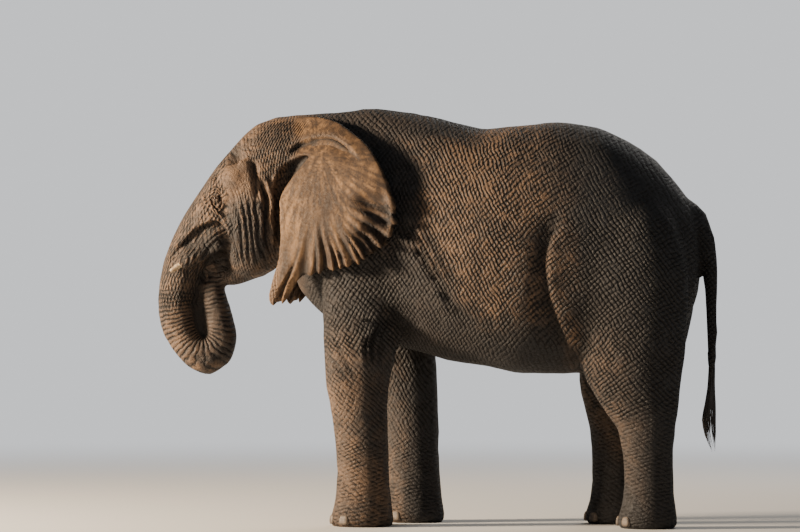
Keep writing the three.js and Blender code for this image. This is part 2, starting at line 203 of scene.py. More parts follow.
class Surface:
    """The points of a mesh as arrays, with the edges that join them."""

    def __init__(self, mesh: bpy.types.Mesh) -> None:
        """Reads the mesh.

        Args:
            mesh: The mesh to read.
        """
        self.mesh = mesh
        self.count = len(mesh.vertices)
        self.at = read_rows(mesh.vertices, "co", 3).astype(float)
        self.first, self.second = read_rows(mesh.edges, "vertices", 2, np.int32).T
        self.degree = self.gathered(np.ones(len(self.first)), np.ones(len(self.first)))

    def gathered(self, first: np.ndarray, second: np.ndarray) -> np.ndarray:
        """Adds up at each point what its edges bring: one value to their first end, one to the second."""
        return np.bincount(self.first, first, self.count) + np.bincount(self.second, second, self.count)

    def neighbours(self, values: np.ndarray) -> np.ndarray:
        """Gives the mean of the values at each point's neighbours, column by column."""
        total = [self.gathered(column[self.second], column[self.first]) for column in values.T]
        return np.stack(total, 1) / self.degree[:, None]

    def smooth(self, rounds: int, share: np.ndarray) -> None:
        """Moves points toward their neighbours.

        Args:
            rounds: How many times.
            share: How far each point goes each time, from 0 to 1.
        """
        for _ in range(rounds):
            self.at += share[:, None] * (self.neighbours(self.at) - self.at)

    def matched(self, slope: np.ndarray, firm: np.ndarray, rounds: int = 500) -> np.ndarray:
        """Finds the numbers whose rise along every edge comes nearest to a wanted slope.

        Args:
            slope: The wanted rise per metre at each point, as a vector.
            firm: How much it matters at each point, from 0 to 1.
            rounds: How many steps of conjugate gradients are taken.

        Returns:
            One number for each point.
        """
        edge = self.at[self.second] - self.at[self.first]
        weight = 1 / np.maximum(np.linalg.norm(edge, axis=1), SHORTEST_EDGE)
        weight *= LEAST_FIRM + np.minimum(firm[self.first], firm[self.second])
        want = weight * 0.5 * np.einsum("ij,ij->i", slope[self.first] + slope[self.second], edge)
        scale = self.gathered(weight, weight)
        found = np.zeros(self.count)
        rest = self.gathered(-want, want)
        step = rest / scale
        level = rest @ step
        for _ in range(rounds):
            pull = weight * (step[self.first] - step[self.second])
            change = self.gathered(pull, -pull)
            size = level / (step @ change)
            found += size * step
            rest -= size * change
            ready = rest / scale
            level, before = rest @ ready, level
            step = ready + level / before * step
        return found

    def store(self) -> None:
        """Writes the points back to the mesh."""
        self.mesh.vertices.foreach_set("co", self.at.astype(np.float32).ravel())
        self.mesh.update()

    def normals(self) -> np.ndarray:
        """Stores the points and gives the normal at each."""
        self.store()
        return read_rows(self.mesh.vertex_normals, "vector", 3).astype(float)


# ---- meshes and objects -------------------------------------------------------------------

WEIGHT_STEPS = 20  # how finely the weights of a vertex group are told apart


def mesh_from(bm: bmesh.types.BMesh, name: str) -> bpy.types.Mesh:
    """Turns a bmesh into a mesh and frees it.

    Args:
        bm: The bmesh.
        name: The mesh's name.

    Returns:
        The mesh.
    """
    mesh = bpy.data.meshes.new(name)
    bm.to_mesh(mesh)
    bm.free()
    return mesh


def bmesh_of(mesh: bpy.types.Mesh, remove: bool = True) -> bmesh.types.BMesh:
    """Reads a mesh into a bmesh.

    Args:
        mesh: The mesh.
        remove: Whether the mesh itself is removed.

    Returns:
        The bmesh, whose points can be called by their numbers.
    """
    bm = bmesh.new()
    bm.from_mesh(mesh)
    bm.verts.ensure_lookup_table()
    if remove:
        bpy.data.meshes.remove(mesh)
    return bm


def add_object(name: str, data: bpy.types.ID) -> bpy.types.Object:
    """Makes an object and links it to the scene.

    Args:
        name: Its name.
        data: Its mesh, light or camera.

    Returns:
        The object.
    """
    made = bpy.data.objects.new(name, data)
    bpy.context.scene.collection.objects.link(made)
    return made


def join_meshes(meshes: Iterable[bpy.types.Mesh], name: str) -> bpy.types.Mesh:
    """Puts several meshes into one and removes them.

    Args:
        meshes: The meshes.
        name: The name of the one they make.

    Returns:
        The joined mesh.
    """
    bm = bmesh.new()
    for mesh in meshes:
        bm.from_mesh(mesh)
        bpy.data.meshes.remove(mesh)
    return mesh_from(bm, name)


def node_copy(name: str, grow: float) -> bpy.types.Mesh:
    """Copies a solid's mesh, with its loose triangles merged.

    Args:
        name: The solid's node.
        grow: How far each point moves out along its normal.

    Returns:
        The new mesh.
    """
    bm = bmesh_of(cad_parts[name].data, remove=False)
    bmesh.ops.remove_doubles(bm, verts=bm.verts, dist=1e-5)
    bm.normal_update()
    for vert in bm.verts:
        vert.co += vert.normal * grow
    return mesh_from(bm, name + "_copy")


def with_modifier(
    mesh: bpy.types.Mesh, kind: str, group: np.ndarray | None = None, **settings: object
) -> bpy.types.Mesh:
    """Runs one modifier on a mesh.

    Args:
        mesh: The mesh to change. It is removed.
        kind: The modifier's type.
        group: Weights for the modifier's vertex group.
        settings: The modifier's own settings.

    Returns:
        The changed mesh.
    """
    holder = add_object("holder", mesh)
    modifier = holder.modifiers.new(kind.lower(), kind)
    for key, value in settings.items():
        setattr(modifier, key, value)
    if group is not None:
        weights = holder.vertex_groups.new(name="weight")
        levels = np.round(group * WEIGHT_STEPS).astype(int)
        for level in np.unique(levels):
            weights.add(np.flatnonzero(levels == level).tolist(), float(level) / WEIGHT_STEPS, "REPLACE")
        modifier.vertex_group = weights.name
    graph = bpy.context.evaluated_depsgraph_get()
    result = bpy.data.meshes.new_from_object(holder.evaluated_get(graph))
    bpy.data.objects.remove(holder)
    bpy.data.meshes.remove(mesh)
    return result


def remeshed(mesh: bpy.types.Mesh, voxel: float) -> bpy.types.Mesh:
    """Rebuilds closed bodies that cross as one even surface."""
    return with_modifier(mesh, "REMESH", mode="VOXEL", voxel_size=voxel, adaptivity=0.0)


def largest_part(mesh: bpy.types.Mesh) -> bpy.types.Mesh:
    """Keeps only the largest connected part of a mesh.

    Args:
        mesh: The mesh. It is removed if it has more parts.

    Returns:
        The mesh of that part.
    """
    surface = Surface(mesh)
    label = np.arange(surface.count)
    while True:
        low = np.minimum(label[surface.first], label[surface.second])
        before = label.copy()
        np.minimum.at(label, surface.first, low)
        np.minimum.at(label, surface.second, low)
        label = label[label]
        if np.array_equal(before, label):
            break
    keep = np.bincount(label).argmax()
    if (label == keep).all():
        return mesh
    bm = bmesh_of(mesh)
    loose = [bm.verts[i] for i in np.flatnonzero(label != keep)]
    bmesh.ops.delete(bm, geom=loose, context="VERTS")
    return mesh_from(bm, "largest")


def place(mesh: bpy.types.Mesh, name: str, material: bpy.types.Material) -> bpy.types.Object:
    """Makes a finished piece of a mesh and lets it ride on the body.

    Args:
        mesh: The mesh, in its place.
        name: The piece's name.
        material: Its material.

    Returns:
        The new object.
    """
    mesh.name = name
    mesh.materials.clear()
    mesh.materials.append(material)
    mesh.shade_smooth()
    piece = add_object(name, mesh)
    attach(piece, "root")
    log.info("%s: %d faces", name, len(mesh.polygons))
    return piece


# ---- node graphs --------------------------------------------------------------------------

Socket = bpy.types.NodeSocket
Value = Socket | float


class Graph:
    """A short way to lay shader nodes in a material or in a group."""

    def __init__(self, tree: bpy.types.NodeTree) -> None:
        """Takes the tree that the nodes go into."""
        self.tree = tree

    def node(self, kind: str, **settings: object) -> bpy.types.Node:
        """Adds a node of a kind, with its settings.

        Args:
            kind: The node's type, without what all shader nodes start with.
            settings: The node's own settings.

        Returns:
            The node.
        """
        node = self.tree.nodes.new("ShaderNode" + kind)
        for key, value in settings.items():
            setattr(node, key, value)
        return node

    def feed(self, target: Socket, value: object) -> None:
        """Links a socket to an input, or sets the input to a value.

        Args:
            target: The input.
            value: A socket, a number or a tuple.
        """
        if isinstance(value, bpy.types.NodeSocket):
            self.tree.links.new(value, target)
        else:
            target.default_value = value

    def wired(self, kind: str, inputs: dict[int | str, object], **settings: object) -> Sequence[Socket]:
        """Adds a node of a kind and gives its inputs what they take.

        Args:
            kind: The node's type, without what all shader nodes start with.
            inputs: A socket, a number or a tuple for each input, by its index or its name.
            settings: The node's own settings.

        Returns:
            The node's outputs.
        """
        node = self.node(kind, **settings)
        for key, value in inputs.items():
            self.feed(node.inputs[key], value)
        return node.outputs

    def math(self, operation: str, a: Value, b: Value = 0.0, clamp: bool = False) -> Socket:
        """Works out one operation of two values."""
        return self.wired("Math", {0: a, 1: b}, operation=operation, use_clamp=clamp)[0]

    def fold(self, operation: str, *values: Value) -> Socket:
        """Works one operation through any number of values, from the first on."""
        return reduce(lambda a, b: self.math(operation, a, b), values)

    def vector(self, operation: str, a: object, b: object = (0.0, 0.0, 0.0)) -> Socket:
        """Works out one operation of two vectors."""
        return self.wired("VectorMath", {0: a, 1: b}, operation=operation)[0]

    def scaled(self, vector: Socket, by: Value) -> Socket:
        """Multiplies a vector by one number."""
        return self.wired("VectorMath", {0: vector, "Scale": by}, operation="SCALE")[0]

    def rise(self, value: Value, low: float, high: float, start: float = 0.0, end: float = 1.0) -> Socket:
        """Rises smoothly from start to end as the value goes from low to high."""
        inputs = dict(enumerate((value, low, high, start, end)))
        return self.wired("MapRange", inputs, interpolation_type="SMOOTHSTEP")[0]

    def mix(self, share: Value, a: object, b: object) -> Socket:
        """Mixes two colours."""
        first, second = ((*colour, 1.0) if isinstance(colour, tuple) else colour for colour in (a, b))
        return self.wired("Mix", {0: share, 6: first, 7: second}, data_type="RGBA")[2]

    def blend(self, share: Value, a: Value, b: Value) -> Socket:
        """Mixes two numbers."""
        return self.wired("Mix", {0: share, 2: a, 3: b}, data_type="FLOAT")[0]

    def noise(self, at: Socket, scale: float, detail: float = 2.0, colour: bool = False) -> Socket:
        """Gives noise at a place, as a number or as a colour."""
        outputs = self.wired("TexNoise", {"Vector": at, "Scale": scale, "Detail": detail})
        return outputs["Color" if colour else "Fac"]

    def cells(self, at: Socket, scale: float) -> Socket:
        """Gives how far a place is from the edge of its cell."""
        inputs = {"Vector": at, "Scale": scale}
        return self.wired("TexVoronoi", inputs, feature="DISTANCE_TO_EDGE")["Distance"]

    def here(self) -> Socket:
        """Gives the place on the animal."""
        return self.node("TexCoord").outputs["Object"]

    def attribute(self, name: str) -> Sequence[Socket]:
        """Reads the three numbers of an attribute of the mesh."""
        node = self.node("Attribute", attribute_type="GEOMETRY", attribute_name=name)
        return self.parts(node.outputs["Vector"])

    def parts(self, vector: Socket) -> Sequence[Socket]:
        """Splits a vector into its three numbers."""
        return self.wired("SeparateXYZ", {0: vector})[:3]

    def merge(self, x: Value, y: Value, z: Value) -> Socket:
        """Makes a vector of three numbers."""
        return self.wired("CombineXYZ", {0: x, 1: y, 2: z})[0]

    def bump(self, shader: bpy.types.Node, height: Socket) -> None:
        """Lets a height in metres turn the shader's normal."""
        self.feed(shader.inputs["Normal"], self.wired("Bump", {"Height": height, "Distance": 1.0})["Normal"])


def new_material(name: str) -> tuple[bpy.types.Material, Graph, bpy.types.Node]:
    """Makes a material with one Principled shader.

    Args:
        name: The material's name.

    Returns:
        The material, a graph of its nodes and the shader.
    """
    material = bpy.data.materials.new(name)
    material.use_nodes = True
    shader = material.node_tree.nodes["Principled BSDF"]
    return material, Graph(material.node_tree), shader


def grain_group() -> bpy.types.NodeTree:
    """The fine grain that hide, nails and ivory share: pores and specks at two sizes.

    Returns:
        A group with the inputs Vector, Size, and the outputs Height, from 0 to 1, and Specks.
    """
    name = "fine_grain"
    if name in bpy.data.node_groups:
        return bpy.data.node_groups[name]
    tree = bpy.data.node_groups.new(name, "ShaderNodeTree")
    sockets = (("Vector", "INPUT", "Vector"), ("Size", "INPUT", "Float"), ("Height", "OUTPUT", "Float"),
               ("Specks", "OUTPUT", "Float"))
    for label, way, kind in sockets:
        tree.interface.new_socket(label, in_out=way, socket_type="NodeSocket" + kind)
    graph = Graph(tree)
    given = tree.nodes.new("NodeGroupInput")
    result = tree.nodes.new("NodeGroupOutput")
    at = graph.vector("DIVIDE", given.outputs["Vector"], graph.merge(*[given.outputs["Size"]] * 3))
    graph.feed(result.inputs["Height"], graph.noise(at, 1.0, 4.0))
    graph.feed(result.inputs["Specks"], graph.noise(at, 0.21, 5.0))
    return tree


def add_grain(graph: Graph, at: Socket, size: float) -> tuple[Socket, Socket]:
    """Places the grain group in a material, and gives its height and its specks."""
    outputs = graph.wired("Group", {"Vector": at, "Size": size}, node_tree=grain_group())
    return outputs["Height"], outputs["Specks"]


# ---- finishes -----------------------------------------------------------------------------


@dataclass(frozen=True)
class HideFinish:
    """Dry, wrinkled hide in dark grey-browns. The mesh's attributes say where it changes.

    phases holds the phases of three sets of parallel wrinkles: two that cross, and the rolls
    that ring the trunk and line the cheeks. depths holds how deep each set is. tint holds the
    shares of ear, of dust with painted light and shade, and of painted shade. On an ear its
    dust holds lighter streaks.
    """

    # painted shade in cracks, valleys and hollows, and the dark specks
    dark: Colour = (0.008, 0.0062, 0.0052)
    # the bare grey hide, tinted cool as painted skylit shade
    body: Colour = (0.0160, 0.0162, 0.0172)
    # dust, and the colour where light is painted on the hide
    dusty: Colour = (0.140, 0.085, 0.050)
    ear: Colour = (0.021, 0.0105, 0.0048)
    ear_dusty: Colour = (0.230, 0.128, 0.058)
    cell: float = 0.030  # width of the larger cells between cracks
    cell_depth: float = 0.0022
    fine_cell: float = 0.011
    fine_depth: float = 0.0010
    pore_depth: float = 0.0008
    grain: float = 0.004
    offset: Point3 = (3.7, 1.9, 5.3)  # moves a place to where the noise differs
    # how each set wanders: the scale of each noise, and how many whole lines it moves a line
    wanders: tuple[tuple[Point2, ...], ...] = (
        ((4.0, 0.7), (11.0, 0.38), (29.0, 0.20)),
        ((4.5, 0.7), (13.0, 0.38), (31.0, 0.20)),
        ((9.0, 0.40), (26.0, 0.24)),
    )
    # how each set comes and goes: scale and detail of a noise, and how it turns into strength
    gates: tuple[tuple[float, ...], ...] = (
        (13.0, 2.0, 0.34, 0.60, 0.40, 1.15),
        (15.0, 2.0, 0.34, 0.60, 0.25, 1.15),
        (12.0, 1.0, 0.30, 0.60, 0.45, 1.1),
    )
    narrow: tuple[float, ...] = (1.12, 1.12, 1.0)  # how narrow the valleys of each set are
    scratch_ways: tuple[Point2, ...] = ((-9.0, 1.5), (-33.0, 1.3), (-58.0, 1.6))  # degrees, and how short

    def valleys(self, g: Graph, phase: Socket, wobble: Socket, narrow: float) -> Socket:
        """Draws parallel valleys with round backs between them.

        Args:
            g: The graph of the material.
            phase: Rises by one from each valley to the next.
            wobble: What is added to the phase, so that lines wander.
            narrow: How narrow the valleys are.

        Returns:
            1 at the bottom of a valley and 0 on the back between two.
        """
        turn = g.math("SINE", g.math("MULTIPLY", g.math("ADD", phase, wobble), math.pi))
        return g.math("POWER", g.math("SUBTRACT", 1.0, g.math("ABSOLUTE", turn)), narrow)

    def wander(self, g: Graph, at: Socket, parts: Sequence[tuple[float, float]]) -> Socket:
        """Adds up noises that are centred on nothing.

        Args:
            g: The graph of the material.
            at: The place.
            parts: The scale of each noise and how many whole lines it moves a line.

        Returns:
            The sum.
        """
        return g.fold("ADD", *[
            g.math("MULTIPLY", g.math("SUBTRACT", g.noise(at, scale, 1.0), 0.5), 2 * reach)
            for scale, reach in parts
        ])

    def relief(self, g: Graph, at: Socket, is_ear: Socket, grain: Socket) -> Socket:
        """Works out how deep the hide is cut at each place.

        Args:
            g: The graph of the material.
            at: The place.
            is_ear: The share of ear.
            grain: The height of the grain.

        Returns:
            The depth in metres.
        """
        moved = g.vector("ADD", at, self.offset)
        cuts = []
        sets = zip(g.attribute("phases"), g.attribute("depths"), (at, moved, moved))
        looks = zip(self.wanders, self.gates, self.narrow)
        for (phase, depth, spot), (wanders, (scale, detail, *levels), narrow) in zip(sets, looks):
            gate = g.rise(g.noise(spot, scale, detail), *levels)
            valley = self.valleys(g, phase, self.wander(g, spot, wanders), narrow)
            cuts.append(g.math("MULTIPLY", valley, g.math("MULTIPLY", depth, gate)))

        warp = g.scaled(g.vector("SUBTRACT", g.noise(at, 14.0, 3.0, colour=True), (0.5, 0.5, 0.5)), 0.06)
        warped = g.vector("ADD", at, warp)
        cracks, fine = (g.rise(g.cells(warped, 1 / cell), 0.30, 0.0) for cell in (self.cell, self.fine_cell))
        patchy = g.rise(g.noise(moved, 7.0, 2.0), 0.35, 0.65, 0.25, 1.0)
        cracks = g.fold("MULTIPLY", cracks, patchy, g.math("SUBTRACT", 1.0, is_ear))
        return g.fold(
            "ADD", *cuts,
            g.math("MULTIPLY", cracks, self.cell_depth),
            g.math("MULTIPLY", fine, g.blend(is_ear, self.fine_depth, self.fine_depth * 0.6)),
            g.math("MULTIPLY", grain, -self.pore_depth),
        )

    def scratches(self, g: Graph, at: Socket) -> Socket:
        """Draws long thin scratches, seen from the side, as thorns leave them on an ear.

        Args:
            g: The graph of the material.
            at: The place.

        Returns:
            1 on a scratch and 0 beside it.
        """
        x, _, z = g.parts(at)
        lines = []
        for degrees, scale in self.scratch_ways:
            cos, sin = math.cos(math.radians(degrees)), math.sin(math.radians(degrees))
            along = g.math("ADD", g.math("MULTIPLY", x, cos), g.math("MULTIPLY", z, sin))
            across = g.math("SUBTRACT", g.math("MULTIPLY", z, cos), g.math("MULTIPLY", x, sin))
            field_at = g.merge(g.math("MULTIPLY", along, scale), g.math("MULTIPLY", across, 30.0), degrees)
            off = g.math("ABSOLUTE", g.math("SUBTRACT", g.noise(field_at, 1.0, 0.0), 0.66))
            lines.append(g.rise(off, 0.014, 0.003))
        strength = g.rise(g.noise(at, 3.0, 2.0), 0.50, 0.62, 0.0, 0.6)
        return g.math("MULTIPLY", g.fold("MAXIMUM", *lines), strength)

    def material(self) -> bpy.types.Material:
        """Builds the material.

        Returns:
            The material.
        """
        material, g, shader = new_material("hide")
        at = g.here()
        is_ear, dust_and_light, shade = g.attribute("tint")
        grain, specks = add_grain(g, at, self.grain)
        depth = self.relief(g, at, is_ear, grain)
        g.bump(shader, g.math("MULTIPLY", depth, -1.0))

        # dust and painted light on what stands out and in patches, and painted shade with some earth in the
        # cracks
        patches = g.rise(g.noise(at, 2.6, 5.0), 0.36, 0.66)
        small_patches = g.rise(g.noise(at, 17.0, 4.0), 0.42, 0.66)
        dust_and_light_share = g.math("ADD", g.math("MULTIPLY", patches, 0.9), g.math("MULTIPLY", small_patches, 0.8))
        dust_and_light_share = g.math("MULTIPLY", g.math("ADD", dust_and_light_share, 0.45), dust_and_light, clamp=True)
        body = g.mix(dust_and_light_share, self.body, self.dusty)
        streaks = g.rise(g.noise(g.vector("MULTIPLY", at, (1.0, 1.0, 0.35)), 19.0, 5.0), 0.36, 0.66)
        clouds = g.rise(g.noise(at, 2.8, 6.0), 0.36, 0.64)
        bright = g.fold("MULTIPLY", *(
            g.blend(share, least, 1.0) for share, least in ((clouds, 0.38), (streaks, 0.30), (dust_and_light, 0.12))
        ))
        ear = g.mix(g.math("MAXIMUM", bright, self.scratches(g, at)), self.ear, self.ear_dusty)
        base = g.mix(is_ear, body, ear)
        # valleys and cracks darken: painted shade, with some earth in them
        sunk = g.rise(depth, 0.0028, 0.0080)
        base = g.mix(g.math("MULTIPLY", sunk, g.blend(is_ear, 0.94, 0.6)), base, self.dark)
        # painted shade, as much as the mesh's shade share
        base = g.mix(shade, base, self.dark)
        base = g.mix(g.math("MULTIPLY", g.rise(specks, 0.50, 0.72), 0.22), base, self.dark)
        g.feed(shader.inputs["Base Color"], base)
        g.feed(shader.inputs["Roughness"], g.rise(specks, 0.2, 0.8, 0.62, 0.88))
        shader.inputs["Specular IOR Level"].default_value = 0.35
        return material


@dataclass(frozen=True)
class IvoryFinish:
    """Worn ivory: creamy, with stains in specks and a fine grain."""

    clean: Colour = (0.40, 0.32, 0.21)
    stained: Colour = (0.20, 0.135, 0.075)
    name: str = "ivory"
    rough: Point2 = (0.3, 0.5)
    grain: float = 0.006
    grain_depth: float = 0.0006

    def material(self) -> bpy.types.Material:
        """Builds the material.

        Returns:
            The material.
        """
        material, g, shader = new_material(self.name)
        grain, specks = add_grain(g, g.here(), self.grain)
        g.feed(shader.inputs["Base Color"], g.mix(g.rise(specks, 0.4, 0.65), self.clean, self.stained))
        g.feed(shader.inputs["Roughness"], g.rise(grain, 0.2, 0.8, *self.rough))
        g.bump(shader, g.math("MULTIPLY", grain, self.grain_depth))
        return material


HORN = IvoryFinish((0.125, 0.094, 0.068), (0.062, 0.047, 0.036), "horn", (0.55, 0.75))


@dataclass(frozen=True)
class EyeFinish:
    """A wet brown eye, ringed round the line it looks along. It suits both sides."""

    middle: Point3
    gaze: Point3
    pupil: Colour = (0.004, 0.003, 0.003)
    iris: Colour = (0.060, 0.026, 0.010)
    iris_edge: Colour = (0.020, 0.010, 0.006)
    white: Colour = (0.075, 0.045, 0.033)
    # where each colour gives way to the next, in radians from the gaze
    pupil_end: Point2 = (0.20, 0.25)
    iris_end: Point2 = (0.46, 0.56)
    edge_end: Point2 = (0.60, 0.76)

    def material(self) -> bpy.types.Material:
        """Builds the material.

        Returns:
            The material.
        """
        material, g, shader = new_material("eye")
        x, y, z = g.parts(g.here())
        at = g.vector("SUBTRACT", g.merge(x, g.math("ABSOLUTE", y), z), self.middle)
        way = g.vector("NORMALIZE", at)
        straight = g.wired("VectorMath", {0: way, 1: self.gaze}, operation="DOT_PRODUCT")["Value"]
        turn = g.math("ARCCOSINE", straight)
        fibres = g.noise(way, 26.0, 3.0)
        iris = g.mix(fibres, self.iris, self.iris_edge)
        base = g.mix(g.rise(turn, *self.pupil_end), self.pupil, iris)
        base = g.mix(g.rise(turn, *self.iris_end), base, self.iris_edge)
        base = g.mix(g.rise(turn, *self.edge_end), base, self.white)
        g.feed(shader.inputs["Base Color"], base)
        g.feed(shader.inputs["Roughness"], g.rise(turn, 0.5, 0.8, 0.04, 0.2))
        shader.inputs["IOR"].default_value = 1.38
        return material


@dataclass(frozen=True)
class HairFinish:
    """Coarse hair, nearly black and a little glossy."""

    colour: Colour = (0.012, 0.010, 0.009)

    def material(self) -> bpy.types.Material:
        """Builds the material.

        Returns:
            The material.
        """
        material, g, shader = new_material("tail_hair")
        tone = g.noise(g.vector("MULTIPLY", g.here(), (1.0, 1.0, 0.2)), 60.0, 2.0)
        g.feed(shader.inputs["Base Color"], g.mix(tone, self.colour, tuple(c * 3 for c in self.colour)))
        g.feed(shader.inputs["Roughness"], g.rise(tone, 0.3, 0.7, 0.38, 0.6))
        return material


@dataclass(frozen=True)
class FloorFinish:
    """A plain pale floor that takes on the colour of the studio far from the animal."""

    colour: Colour = (0.60, 0.59, 0.57)
    studio: Colour = STUDIO
    glow: float = 0.95
    start: float = 4.5  # metres from the animal
    end: float = 17.0

    def material(self) -> bpy.types.Material:
        """Builds the material.

        Returns:
            The material.
        """
        material, g, shader = new_material("floor")
        far = g.rise(g.wired("VectorMath", {0: g.here()}, operation="LENGTH")["Value"], self.start, self.end)
        g.feed(shader.inputs["Base Color"], g.mix(far, self.colour, (0.0, 0.0, 0.0)))
        g.feed(shader.inputs["Emission Color"], g.mix(far, (0.0, 0.0, 0.0), self.studio))
        shader.inputs["Emission Strength"].default_value = self.glow
        shader.inputs["Roughness"].default_value = 0.95
        shader.inputs["Specular IOR Level"].default_value = 0.0
        return material


# ---- shapes round a path ------------------------------------------------------------------

ACROSS = np.array([0.0, 1.0, 0.0])
TUBE_STEPS = 40  # from each point of a path to the next


def tube(
    path: Sequence[Sequence[float]], sides: int, rings: int, toward: np.ndarray = ACROSS
) -> bpy.types.Mesh:
    """Bends a sphere into a closed tube along a path.

    Args:
        path: Points of x, y, z, the half width, and the half width toward the given direction.
        sides: How many faces go round.
        rings: How many rings lie along it.
        toward: The direction that the second half width faces.

    Returns:
        The tube's mesh.
    """
    line = smooth_line(path, TUBE_STEPS * len(path))
    bm = bmesh.new()
    bmesh.ops.create_uvsphere(bm, u_segments=sides, v_segments=rings, radius=1.0)
    mesh = mesh_from(bm, "tube")
    surface = Surface(mesh)
    x, y, z = surface.at.T
    where = np.arccos(np.clip(z, -1, 1)) / math.pi * (len(line) - 1)
    steps = np.arange(len(line))
    middle = np.stack([np.interp(where, steps, line[:, k]) for k in range(3)], 1)
    half = [np.interp(where, steps, line[:, k]) for k in (3, 4)]
    along = np.gradient(line[:, :3], axis=0)
    tangent = np.stack([np.interp(where, steps, along[:, k]) for k in range(3)], 1)
    tangent /= np.linalg.norm(tangent, axis=1, keepdims=True)
    up = toward - tangent * (tangent @ toward)[:, None]
    up /= np.linalg.norm(up, axis=1, keepdims=True)
    aside = np.cross(up, tangent)
    turn = np.arctan2(y, x)
    ends = (np.hypot(x, y) > 1e-6).astype(float)
    surface.at = middle + aside * (half[0] * ends * np.cos(turn))[:, None]
    surface.at += up * (half[1] * ends * np.sin(turn))[:, None]
    surface.store()
    return facing_out(mesh)


def mirrored(mesh: bpy.types.Mesh) -> bpy.types.Mesh:
    """Copies a mesh to the other side of the animal.

    Args:
        mesh: The mesh of one side.

    Returns:
        The mesh of the other side.
    """
    bm = bmesh_of(mesh, remove=False)
    bmesh.ops.scale(bm, vec=(1, -1, 1), verts=bm.verts)
    bmesh.ops.reverse_faces(bm, faces=bm.faces)
    return mesh_from(bm, mesh.name)


def facing_out(mesh: bpy.types.Mesh) -> bpy.types.Mesh:
    """Turns a closed mesh's faces outward.

    Args:
        mesh: The mesh. It is removed.

    Returns:
        The mesh with its faces turned.
    """
    bm = bmesh_of(mesh)
    bmesh.ops.remove_doubles(bm, verts=bm.verts, dist=1e-6)
    bmesh.ops.recalc_face_normals(bm, faces=bm.faces)
    return mesh_from(bm, "outward")


# ---- ears ---------------------------------------------------------------------------------


